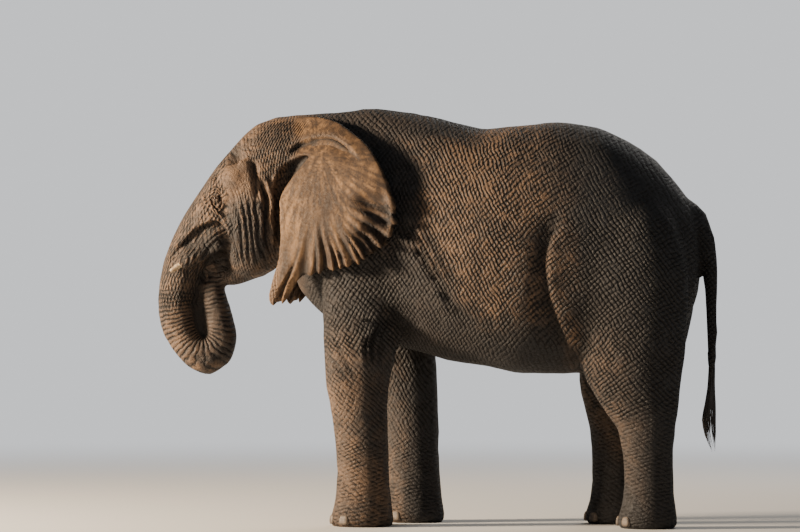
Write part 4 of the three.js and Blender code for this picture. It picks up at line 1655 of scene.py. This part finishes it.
    def cut_grooves(self, mesh: bpy.types.Mesh) -> bpy.types.Mesh:
        """Cuts the grooves between cheeks and ears out of a closed body.

        Args:
            mesh: The body. It is removed.

        Returns:
            The body with its grooves.
        """
        cutters = []
        for side in Side:
            path = [(x, side.value * out, z, wide, deep) for x, out, z, wide, deep in self.groove]
            cutters.append(tube(path, 20, 60))
        cutter = add_object("cutter", join_meshes(cutters, "cutter"))
        mesh = with_modifier(mesh, "BOOLEAN", operation="DIFFERENCE", solver="MANIFOLD", object=cutter)
        bpy.data.objects.remove(cutter)
        return mesh

    def build(self) -> bpy.types.Mesh:
        """Builds the finished mesh of the skin.

        Returns:
            The mesh.
        """
        start = time.perf_counter()
        body = self.rough_shape()
        log.info("rough shape: %d points, %.1f s", body.count, time.perf_counter() - start)
        ear = self.ears.mesh()
        parts = [self.cut_grooves(mesh) for mesh in (body.mesh, mirrored(ear), ear)]
        parts += [self.mid_tube(path) for path in self.fingers]
        mesh = largest_part(remeshed(join_meshes(parts, "whole"), self.fine_voxel))
        log.info("whole: %d points, %.1f s", len(mesh.vertices), time.perf_counter() - start)
        surface = Surface(mesh)
        surface.smooth(3, np.full(surface.count, 0.5))
        surface.store()
        surface = Surface(self.eyes.refine(mesh))
        self.sculpt(surface)
        self.eyes.shape(surface)
        lids = Sculptor(surface)
        for crease in EYE_CREASES:
            lids.press(crease)
        lids.finish()
        log.info("sculpted: %d points, %.1f s", surface.count, time.perf_counter() - start)
        triangles = len(surface.mesh.loops) - 2 * len(surface.mesh.polygons)
        mesh = with_modifier(
            surface.mesh, "DECIMATE", self.detail(surface.at), ratio=self.most_faces / triangles,
            invert_vertex_group=True, vertex_group_factor=6.0, use_collapse_triangulate=True,
        )
        log.info("thinned: %d faces, %.1f s", len(mesh.polygons), time.perf_counter() - start)
        return mesh

    def detail(self, at: np.ndarray) -> np.ndarray:
        """How much each place keeps its fine faces: most on the head.

        Args:
            at: The points of the skin.

        Returns:
            The share at each point.
        """
        x, _, z = at.T
        head = ramp(-0.95, -1.15, x) * ramp(1.1, 1.3, z)
        ear, eye = 0.45 * self.ears.share(at), self.eyes.near(at)
        return np.maximum(np.maximum(0.10, 0.6 * head), np.maximum(ear, eye))

    def sculpt(self, surface: Surface) -> None:
        """Presses the folds that are large enough to be shape.

        Args:
            surface: The skin.
        """
        hand = Sculptor(surface)
        for swelling in SWELLINGS:
            hand.swell(swelling)
        for crease in CREASES:
            hand.press(crease)
        for fold in FOLDS:
            hand.step(fold)
        at = surface.at
        off_ear = 1 - self.ears.share(at)
        areas = self.areas(at, hand.normal)
        # rolls of the cheek, folds of the hood, arcs round the tusk's sheath and rings of the trunk
        wander = Noise(3, 0.22).at(at)
        tilt = 0.06 + 0.14 * ramp(-1.30, -1.53, hand.x)
        hand.roll((hand.x + tilt * (hand.z - 2.35)) / 0.057 + 0.20 * wander, 0.020 * areas["cheek"] * off_ear)
        hood = (hand.x - (np.maximum(hand.z, 2.69) - 2.69) ** 2 * 0.9) / 0.060 + 0.25 * wander
        hand.roll(hood, 0.0020 * areas["hood"])
        hand.roll(np.hypot(hand.x + 1.40, hand.z - 1.85) / 0.054 + 0.2 * wander, 0.010 * areas["sheath"])
        along = self.trunk.measure(at)[0]
        hand.roll(along / 0.078, 0.0020 * areas["trunk"])
        # low lumps all over but on the ears and the soles
        lumps = Noise(5, 0.34).at(at) + 0.5 * Noise(6, 0.16).at(at)
        hand.push += 0.0026 * lumps * off_ear * ramp(0.05, 0.2, hand.z)
        hand.finish()
        # none of it stands out past the widest place
        out = np.abs(at[:, 1])
        out = self.widest - 0.004 * np.logaddexp(0.0, (self.widest - out) / 0.004)
        at[:, 1] = np.copysign(np.maximum(out, 0.0), at[:, 1])
        surface.store()

    def areas(self, at: np.ndarray, normal: np.ndarray) -> dict[str, np.ndarray]:
        """The share of each named area of the hide at each point.

        Args:
            at: The points of the skin.
            normal: The normal at each.

        Returns:
            The share of each area, by its name.
        """
        edge = 0.035 * Noise(12, 0.30).at(at)
        x, z = at[:, 0], at[:, 2]
        side = ramp(0.2, 0.55, np.abs(normal[:, 1]))
        along, near, _ = self.trunk.measure(at)
        free = self.trunk.share(at, 1.12, 1.30)
        radius = np.hypot(x + 1.40, z - 1.85)
        found = {
            "cheek": band(-1.535, -1.275, 0.03, x) * band(2.06, 2.40, 0.12, z) * side * (1 - free),
            "hood": band(-1.345, -1.03, 0.04, x - 0.25 * (z - 2.85)) * band(2.64, 3.04, 0.05, z),
            "sheath": band(0.385, 0.560, 0.03, radius) * band(1.92, 2.25, 0.07, z) * side * (x < -1.45),
            "trunk": free * (1 - self.touch(at)),
            "face": ramp(0.02, 0.25, along) * ramp(1.42, 1.28, along) * (near < 1.5) * ramp(-1.50, -1.62, x),
            "tail": ramp(1.93, 2.00, x) * ramp(2.42, 2.34, z) * ramp(1.0, 1.15, z),
        }
        bulge = np.exp(-(((x + 1.500) / 0.140) ** 4) - ((z - 2.650) / 0.110) ** 4)
        found["head"] = ramp(-0.98, -1.08, x) * (1 - free) * (1 - self.ears.share(at)) * (1 - 0.85 * bulge)
        x, z = x + edge, z + edge
        body = (1 - self.ears.share(at)) * ramp(-1.02, -0.94, x) * (1 - free)
        above = z + 0.9 * np.maximum(x + 0.35, 0) * (x < 0.4)
        found |= {
            "fore": band(-0.90, -0.22, 0.08, x) * band(1.38, 2.20, 0.10, z) * body,
            "forearm": ramp(0.50, 0.30, x) * ramp(1.44, 1.34, z) * ramp(0.55, 0.75, z) * body,
            "thigh": ramp(1.06, 1.20, x) * band(0.95, 2.28, 0.10, z) * body,
            "front_flank": band(-0.22, 0.58, 0.10, x) * band(1.42, 2.86, 0.10, z) * body,
            "flank": band(0.62, 1.10, 0.10, x) * band(1.42, 2.92, 0.10, z) * body,
            "back": ramp(0.20, 0.40, x) * ramp(2.86, 3.00, z) * body,
            "rump": ramp(1.08, 1.24, x) * band(2.38, 2.92, 0.10, z) * body,
            "belly": band(-0.25, 1.20, 0.10, x) * ramp(1.44, 1.34, z) * ramp(1.05, 1.15, z) * body,
            "shin": np.where(x > 0.7, ramp(0.98, 0.88, z), ramp(0.75, 0.55, z)) * body,
            "neck": band(-0.95, 0.28, 0.10, x) * ramp(2.25, 2.45, above) * body,
        }
        found["neck"] = np.maximum(found["neck"] - found["front_flank"] - found["fore"], 0)
        return found

    def touch(self, at: np.ndarray) -> np.ndarray:
        """How near each point is to where the trunk lies against itself, from 0 to 1.

        Args:
            at: The points of the skin.

        Returns:
            The share at each point.
        """
        line = np.array(self.mouth[2])[::-1]
        off = np.abs(at[:, 0] - np.interp(at[:, 2], line[:, 1], line[:, 0]))
        inward = ramp(0.085, 0.060, np.abs(at[:, 1]))
        return ramp(0.085, 0.055, off) * inward * band(1.40, 1.95, 0.04, at[:, 2])

    def families(
        self, at: np.ndarray, normal: np.ndarray, areas: dict[str, np.ndarray]
    ) -> list[list[Family]]:
        """Lays out the three sets of wrinkles: two that cross, and rings and rolls.

        Args:
            at: The points of the skin.
            normal: The normal at each.
            areas: The share of each area at each.

        Returns:
            The families of each set.
        """
        _, _, way = self.trunk.measure(at)
        round_way = np.cross(way, normal) * np.sign(at[:, 1])[:, None]

        def braid(along: float, spacing: float, depth: np.ndarray) -> Family:
            """Wrinkles that follow the trunk at a slant."""
            return Family((round_way + along * way) / spacing, depth)

        def lattice(degrees: np.ndarray, spacing: float, **depths: float) -> Family:
            """Wrinkles over many areas, in millimetres of depth for each."""
            total = sum(0.001 * deep * areas[name] for name, deep in depths.items())
            return Family.straight(degrees, spacing, total)

        x, _, z = at.T
        down = np.interp(x, (-0.9, -0.5, -0.2, 0.3, 0.8, 1.15, 1.6), (145, 142, 120, 106, 112, 124, 128))
        up = np.interp(x, (-0.9, -0.3, 0.3, 0.8, 1.1, 1.6), (66, 66, 58, 48, 38, 34)) - 12 * ramp(2.5, 2.9, z)
        first = [
            lattice(down, 0.028, fore=8.8, forearm=5.8, front_flank=9.4, flank=5.0, thigh=9.2, rump=4.6,
                    back=3.8, neck=5.4),
            lattice(150.0, 0.030, shin=4.0),
            lattice(80.0, 0.034, belly=4.2),
            Family.straight(95, 0.022, 0.0040 * areas["head"] * (1 - areas["face"])),
            braid(0.22, 0.026, 0.0072 * areas["face"]),
        ]
        second = [
            lattice(up, 0.029, fore=8.8, forearm=3.2, front_flank=6.2, flank=9.8, thigh=8.4, rump=4.8,
                    back=4.6, neck=5.0),
            lattice(10.0, 0.027, shin=4.6),
            lattice(8.0, 0.034, belly=3.6),
            Family.straight(20, 0.024, 0.0034 * areas["head"] * (1 - areas["face"])),
            braid(-0.45, 0.032, 0.0064 * areas["face"]),
        ]
        lean = np.stack([np.ones(len(at)), np.zeros(len(at)), -1.8 * np.maximum(at[:, 2] - 2.69, 0)], 1)
        third = [
            Family.straight(-94, 0.021, 0.0034 * areas["cheek"]),
            Family(lean / 0.019, 0.0056 * areas["hood"]),
            Family.arcs(at, (-1.40, 1.85), -0.027, 0.0060 * areas["sheath"]),
            Family(way / 0.028, 0.0095 * areas["trunk"]),
            Family.straight(0, 0.022, 0.0036 * areas["tail"]),
        ]
        return [first, second, third]

    def dress(self, mesh: bpy.types.Mesh) -> None:
        """Stores what the hide's finish reads at each point.

        Args:
            mesh: The finished mesh of the skin.
        """
        surface = Surface(mesh)
        normal = surface.normals()
        at = surface.at
        areas = self.areas(at, normal)
        sets = [Family.blended(families, surface) for families in self.families(at, normal, areas)]
        # painted shade in the mesh's hollows, the more sunk the darker
        hollow = surface.neighbours(surface.neighbours(surface.neighbours(at))) - at
        sunk = np.einsum("ij,ij->i", hollow, normal)
        shade = np.clip(sunk / 0.005, 0, 0.8)
        x, y, z = at.T
        is_ear = self.ears.share(at)
        # painted shadow: the hide is kept dark slate, with least dust, where shade falls
        painted_shadow = np.maximum.reduce([
            ramp(0.85, 1.35, x + 0.35 * (z - 2.2)) * ramp(1.3, 2.0, z),  # thigh
            ramp(1.35, 1.75, x),  # rump
            band(-0.62, -0.10, 0.10, x) * band(2.20, 2.80, 0.12, z),  # shoulder
            # behind the elbow
            ramp(-0.34, -0.20, x) * ramp(0.34, 0.10, x + 0.9 * (z - 1.8)) * ramp(2.3, 2.1, z),
            ramp(1.66, 1.42, z) * band(-0.2, 1.0, 0.1, x),  # belly
            0.65 * band(-0.47, -0.10, 0.10, x) * band(0.60, 1.50, 0.15, z),  # rear of the forearm
            0.5 * areas["cheek"],
        ])
        # dust and painted light: much on the head, the flank and the back, some on the legs, streaks on the
        # ears; taken away under painted shadow
        dust_and_light = 0.09 + 0.51 * ramp(-0.95, -1.10, x) - 0.36 * areas["cheek"] - 0.10 * areas["trunk"]
        dust_and_light += ramp(1.55, 1.25, z) * (0.30 - 0.14 * ramp(0.4, 0.8, x)) * (x > -1.2)
        dust_and_light += 0.54 * np.minimum(areas["front_flank"] + areas["flank"] + areas["back"], 1)
        # the rising part of the trunk loses its dust as well: painted shadow
        return_trunk_shadow = ramp(-1.87, -1.77, x) * ramp(1.98, 1.90, z) * (x < -1.4)
        dust_and_light = dust_and_light * (1 - 0.90 * np.maximum(painted_shadow, 0.7 * return_trunk_shadow))
        # convex places on the head are lighter: dust and a painted highlight
        dust_and_light += np.clip(-sunk / 0.006 - 0.3, 0, 0.30) * ramp(-0.9, -1.1, x)
        dust_and_light += is_ear * (self.ears.streaks(x, z) - dust_and_light)
        # painted shade: between the pleats, in the mouth and its corners, under the cheek, on the chest below
        # the ear, in the ear's rear hollow, in the temple's pit, where the trunk lies against itself, and
        # round the eyes
        wave, down = self.ears.pleat(x, z)
        shade = np.maximum(shade, 0.85 * is_ear * ramp(0.3, -0.6, wave) * ramp(0.45, 0.90, down))
        mouth = band(-1.84, -1.50, 0.03, x) * ramp(0.00, 0.03, z - 1.90 - 0.06 * ramp(-1.67, -1.72, x))
        mouth *= ramp(2.17, 2.14, z) * ramp(0.14, 0.10, np.abs(y))
        under = np.exp(-(((x + 1.690) / 0.190) ** 2) - ((z - 2.095) / 0.120) ** 2) * ramp(-2.0, -1.9, x)
        chest = band(-1.06, -0.80, 0.05, x) * band(1.60, 2.00, 0.08, z) * (1 - is_ear)
        behind = ramp(-0.46, -0.38, x) * ramp(-0.26, -0.30, x) * band(2.12, 2.46, 0.06, z) * is_ear
        pit = np.exp(-(((x + 1.512) / 0.040) ** 2) - ((z - 2.800) / 0.055) ** 2)
        shade = np.maximum.reduce([
            shade, 0.85 * mouth, 0.92 * under, 0.6 * chest, 0.20 * behind, 0.75 * pit, 0.9 * self.touch(at),
            0.50 * self.eyes.near(at, 0.058),
        ])
        tint = np.stack([is_ear, dust_and_light, shade], 1)
        phases = np.stack([phase for phase, _ in sets], 1)
        depths = np.stack([depth for _, depth in sets], 1)
        for name, values in (("phases", phases), ("depths", depths), ("tint", tint)):
            layer = mesh.attributes.new(name, "FLOAT_VECTOR", "POINT")
            layer.data.foreach_set("vector", values.astype(np.float32).ravel())


# ---- eyes, tusks, nails and tail hair -----------------------------------------------------


@dataclass
class Eyes:
    """The two eyeballs, each with the low dome of its cornea."""

    socket: EyeSocket
    dome: float = 0.0016

    def build(self) -> list[bpy.types.Object]:
        """Builds both eyes.

        Returns:
            The two pieces.
        """
        finish = EyeFinish(self.socket.middle, tuple(self.socket.axes(Side.RIGHT)[1])).material()
        pieces = []
        for side in Side:
            middle, gaze, _, _ = self.socket.axes(side)
            bm = bmesh.new()
            bmesh.ops.create_uvsphere(bm, u_segments=40, v_segments=28, radius=self.socket.radius)
            turn = Vector(gaze).to_track_quat("Z", "Y").to_matrix()
            bmesh.ops.rotate(bm, matrix=turn, verts=bm.verts)
            for vert in bm.verts:
                angle = vert.co.angle(Vector(gaze))
                vert.co *= 1 + self.dome / self.socket.radius * float(ramp(0.62, 0.25, np.array(angle)))
            bmesh.ops.translate(bm, vec=Vector(middle), verts=bm.verts)
            name = "eyeball_" + side.label
            piece = place(mesh_from(bm, name), name, finish)
            pieces.append(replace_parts(piece, "eye_" + side.label))
        return pieces


@dataclass
class Tusks:
    """The two short tusks, worn round at the tip."""

    path: tuple[tuple[float, ...], ...] = (
        (-1.774, 0.224, 2.103, 0.022, 0.022), (-1.804, 0.223, 2.080, 0.0260, 0.0260),
        (-1.914, 0.220, 1.995, 0.0240, 0.0240), (-1.980, 0.222, 1.947, 0.0205, 0.0205),
        (-2.006, 0.2235, 1.930, 0.0155, 0.0155), (-2.0165, 0.224, 1.923, 0.0070, 0.0070),
    )

    def build(self, material: bpy.types.Material) -> list[bpy.types.Object]:
        """Builds both tusks.

        Args:
            material: The ivory.

        Returns:
            The two pieces.
        """
        pieces = []
        for side in Side:
            path = [(x, side.value * y, z, wide, deep) for x, y, z, wide, deep in self.path]
            name = "worn_tusk_" + side.label
            piece = place(tube(path, 28, 48), name, material)
            pieces.append(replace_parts(piece, "tusk_" + side.label))
        return pieces


@dataclass
class Nails:
    """The toenails, broad domes of ridged horn with a flat lower edge."""

    depth: float = 0.0235  # how far one stands out from its middle
    half_width: float = 0.043
    half_height: float = 0.039
    roundness: float = 0.72  # 1 for a ball, less for a box with round corners
    lowest: float = -0.86  # where its lower edge is cut flat, by its half height

    def build(self, material: bpy.types.Material) -> list[bpy.types.Object]:
        """Builds every nail.

        Args:
            material: The horn.

        Returns:
            The pieces.
        """
        pieces = []
        for name in sorted(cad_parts):
            if "_nail_" not in name:
                continue
            low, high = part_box(name)
            foot_low, foot_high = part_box(name.split("_nail_")[0])
            middle, foot = (low + high) / 2, (foot_low + foot_high) / 2
            turn = math.atan2(middle.y - foot.y, middle.x - foot.x)
            bm = bmesh.new()
            bmesh.ops.create_uvsphere(bm, u_segments=32, v_segments=24, radius=1.0)
            for vert in bm.verts:
                co = vert.co
                out, side, tall = (math.copysign(abs(value) ** self.roundness, value) for value in co)
                deep = self.depth + 0.0007 * math.sin(tall * 21) - 0.004 * tall
                wide = self.half_width - 0.004 * tall
                co.x, co.y, co.z = out * deep, side * wide, max(tall, self.lowest) * self.half_height
            bmesh.ops.rotate(bm, matrix=Matrix.Rotation(turn, 3, "Z"), verts=bm.verts)
            bmesh.ops.translate(bm, vec=(middle.x, middle.y, middle.z - 0.003), verts=bm.verts)
            label = "horn_" + name
            pieces.append(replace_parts(place(mesh_from(bm, label), label, material), name))
        return pieces


@dataclass
class TailHair:
    """The tuft at the end of the tail, in locks of coarse hair."""

    locks: int = 190
    seed: int = 21
    # the tail's end, and below it the middle of the tuft with its reach fore and aft, and across
    middle: tuple[tuple[float, ...], ...] = (
        (2.1040, 1.300, 0.024, 0.024), (2.0990, 1.100, 0.022, 0.022), (2.0930, 0.955, 0.034, 0.030),
        (2.0790, 0.815, 0.054, 0.038), (2.0880, 0.695, 0.050, 0.034), (2.1080, 0.600, 0.030, 0.022),
        (2.1220, 0.545, 0.012, 0.008),
    )

    def lock(self, rng: np.random.Generator) -> bpy.types.Mesh:
        """Builds one lock, with its patch of the map.

        Args:
            rng: Where its place and length are drawn.

        Returns:
            Its mesh.
        """
        line = np.array(self.middle)[::-1]
        turn = rng.uniform(0, 2 * math.pi)
        top = rng.uniform(1.02, 1.27) if rng.random() < 0.45 else rng.uniform(0.99, 1.09)
        bottom = rng.uniform(0.56, 0.78) if rng.random() < 0.7 else rng.uniform(0.70, 0.92)
        spread = rng.uniform(0.35, 1.0) ** 0.5
        path = []
        for share in np.linspace(0, 1, 6):
            z = top + (bottom - top) * share
            x, fore, across = (np.interp(z, line[:, 1], line[:, k]) for k in (0, 2, 3))
            out = (0.90 + (spread - 0.90) * share) if share > 0 else 0.90
            width = 0.0030 * (1 - share) ** 0.6 + 0.0004
            curl = 0.004 * math.sin(5 * share + turn * 3)
            x, y = x + math.cos(turn) * fore * out + curl, math.sin(turn) * across * out + curl / 2
            path.append((x, y, z, width, width))
        mesh = tube(path, 5, 8, np.array([math.sin(turn), math.cos(turn), 0.0]))
        layer = mesh.uv_layers.new(name="OFBake")
        root = (turn / (2 * math.pi) * 0.9 + 0.05, (top - 0.95) / 0.35 * 0.9 + 0.05)
        surface = Surface(mesh)
        sides = surface.at[:, 2] - bottom
        corners = read_rows(mesh.loops, "vertex_index", 1, np.int32)[:, 0]
        u = root[0] + 0.0015 * np.cos(surface.at[:, 0] * 900)
        v = root[1] + 0.003 * sides / (top - bottom)
        layer.data.foreach_set("uv", np.stack([u, v], 1)[corners].astype(np.float32).ravel())
        return mesh

    def build(self, material: bpy.types.Material) -> bpy.types.Object:
        """Builds the tuft.

        Args:
            material: The hair's material.

        Returns:
            The piece.
        """
        rng = np.random.default_rng(self.seed)
        mesh = join_meshes([self.lock(rng) for _ in range(self.locks)], "tail_tuft")
        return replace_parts(place(mesh, "tail_tuft", material), "tail_hair")


# ---- studio -------------------------------------------------------------------------------


@dataclass
class Studio:
    """The floor, the lights and the camera."""

    distance: float = 40.0
    azimuth: float = 8.0  # degrees from square on, toward the rump
    height: float = 2.195
    aim: Point3 = (-0.278, 0.0, 1.966)
    width: float = 6.096  # of the frame, at the animal
    ambient: float = 0.13  # how strongly the surroundings light the animal
    backdrop: float = 0.95  # and how bright the camera sees them
    sensor: float = 36.0

    def build(self) -> None:
        """Builds all of it."""
        self.add_floor()
        self.add_camera()
        self.add_light("key", (-12.9, -4.3, 4.8), 2.2, 8300.0, (1.0, 0.80, 0.58))
        self.add_light("fill", (5.0, -13.0, 6.0), 8.0, 120.0, (0.86, 0.92, 1.0))
        self.add_light("rim", (3.0, 9.0, 8.0), 5.0, 600.0, (1.0, 0.96, 0.9))
        world = bpy.data.worlds.new("studio")
        world.use_nodes = True
        g = Graph(world.node_tree)
        background = world.node_tree.nodes["Background"]
        background.inputs["Color"].default_value = (*STUDIO, 1.0)
        seen = g.node("LightPath").outputs["Is Camera Ray"]
        g.feed(background.inputs["Strength"], g.blend(seen, self.ambient, self.backdrop))
        bpy.context.scene.world = world

    def add_floor(self) -> None:
        """Adds the floor."""
        bm = bmesh.new()
        bmesh.ops.create_grid(bm, x_segments=1, y_segments=1, size=60.0)
        mesh = mesh_from(bm, "floor")
        mesh.materials.append(FloorFinish().material())
        floor = add_object("floor", mesh)

    def add_camera(self) -> None:
        """Adds the camera and makes it the scene's."""
        camera = bpy.data.cameras.new("camera")
        camera.sensor_width = self.sensor
        camera.lens = self.sensor * self.distance / self.width
        camera.clip_end = 200.0
        holder = add_object("camera", camera)
        turn = math.radians(self.azimuth)
        aim = Vector(self.aim)
        away, aside = self.distance * math.cos(turn), self.distance * math.sin(turn)
        holder.location = (aim.x + aside, -away, self.height)
        holder.rotation_euler = (aim - holder.location).to_track_quat("-Z", "Y").to_euler()
        bpy.context.scene.camera = holder

    def add_light(self, name: str, at: Point3, size: float, power: float, colour: Colour) -> None:
        """Adds a soft area light aimed at the middle of the animal.

        Args:
            name: The light's name.
            at: Where it stands.
            size: How wide it is.
            power: In watts.
            colour: Its colour.
        """
        light = bpy.data.lights.new(name, "AREA")
        light.size = size
        light.energy = power
        light.color = colour
        holder = add_object(name, light)
        holder.location = at
        holder.rotation_euler = (Vector((0, 0, 1.7)) - Vector(at)).to_track_quat("-Z", "Y").to_euler()


def main() -> None:
    """Builds the elephant and the studio, piece by piece."""
    logging.basicConfig(level=logging.INFO, format="%(message)s")
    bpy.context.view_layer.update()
    hide = HideFinish().material()
    ivory = IvoryFinish().material()
    skin = Skin()
    mesh = skin.build()
    skin.dress(mesh)
    piece = place(mesh, "skin", hide)
    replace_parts(piece, *skin.flesh())
    Eyes(skin.eyes).build()
    Tusks().build(ivory)
    Nails().build(HORN.material())
    TailHair().build(HairFinish().material())
    Studio().build()


if __name__ == "__main__":
    main()
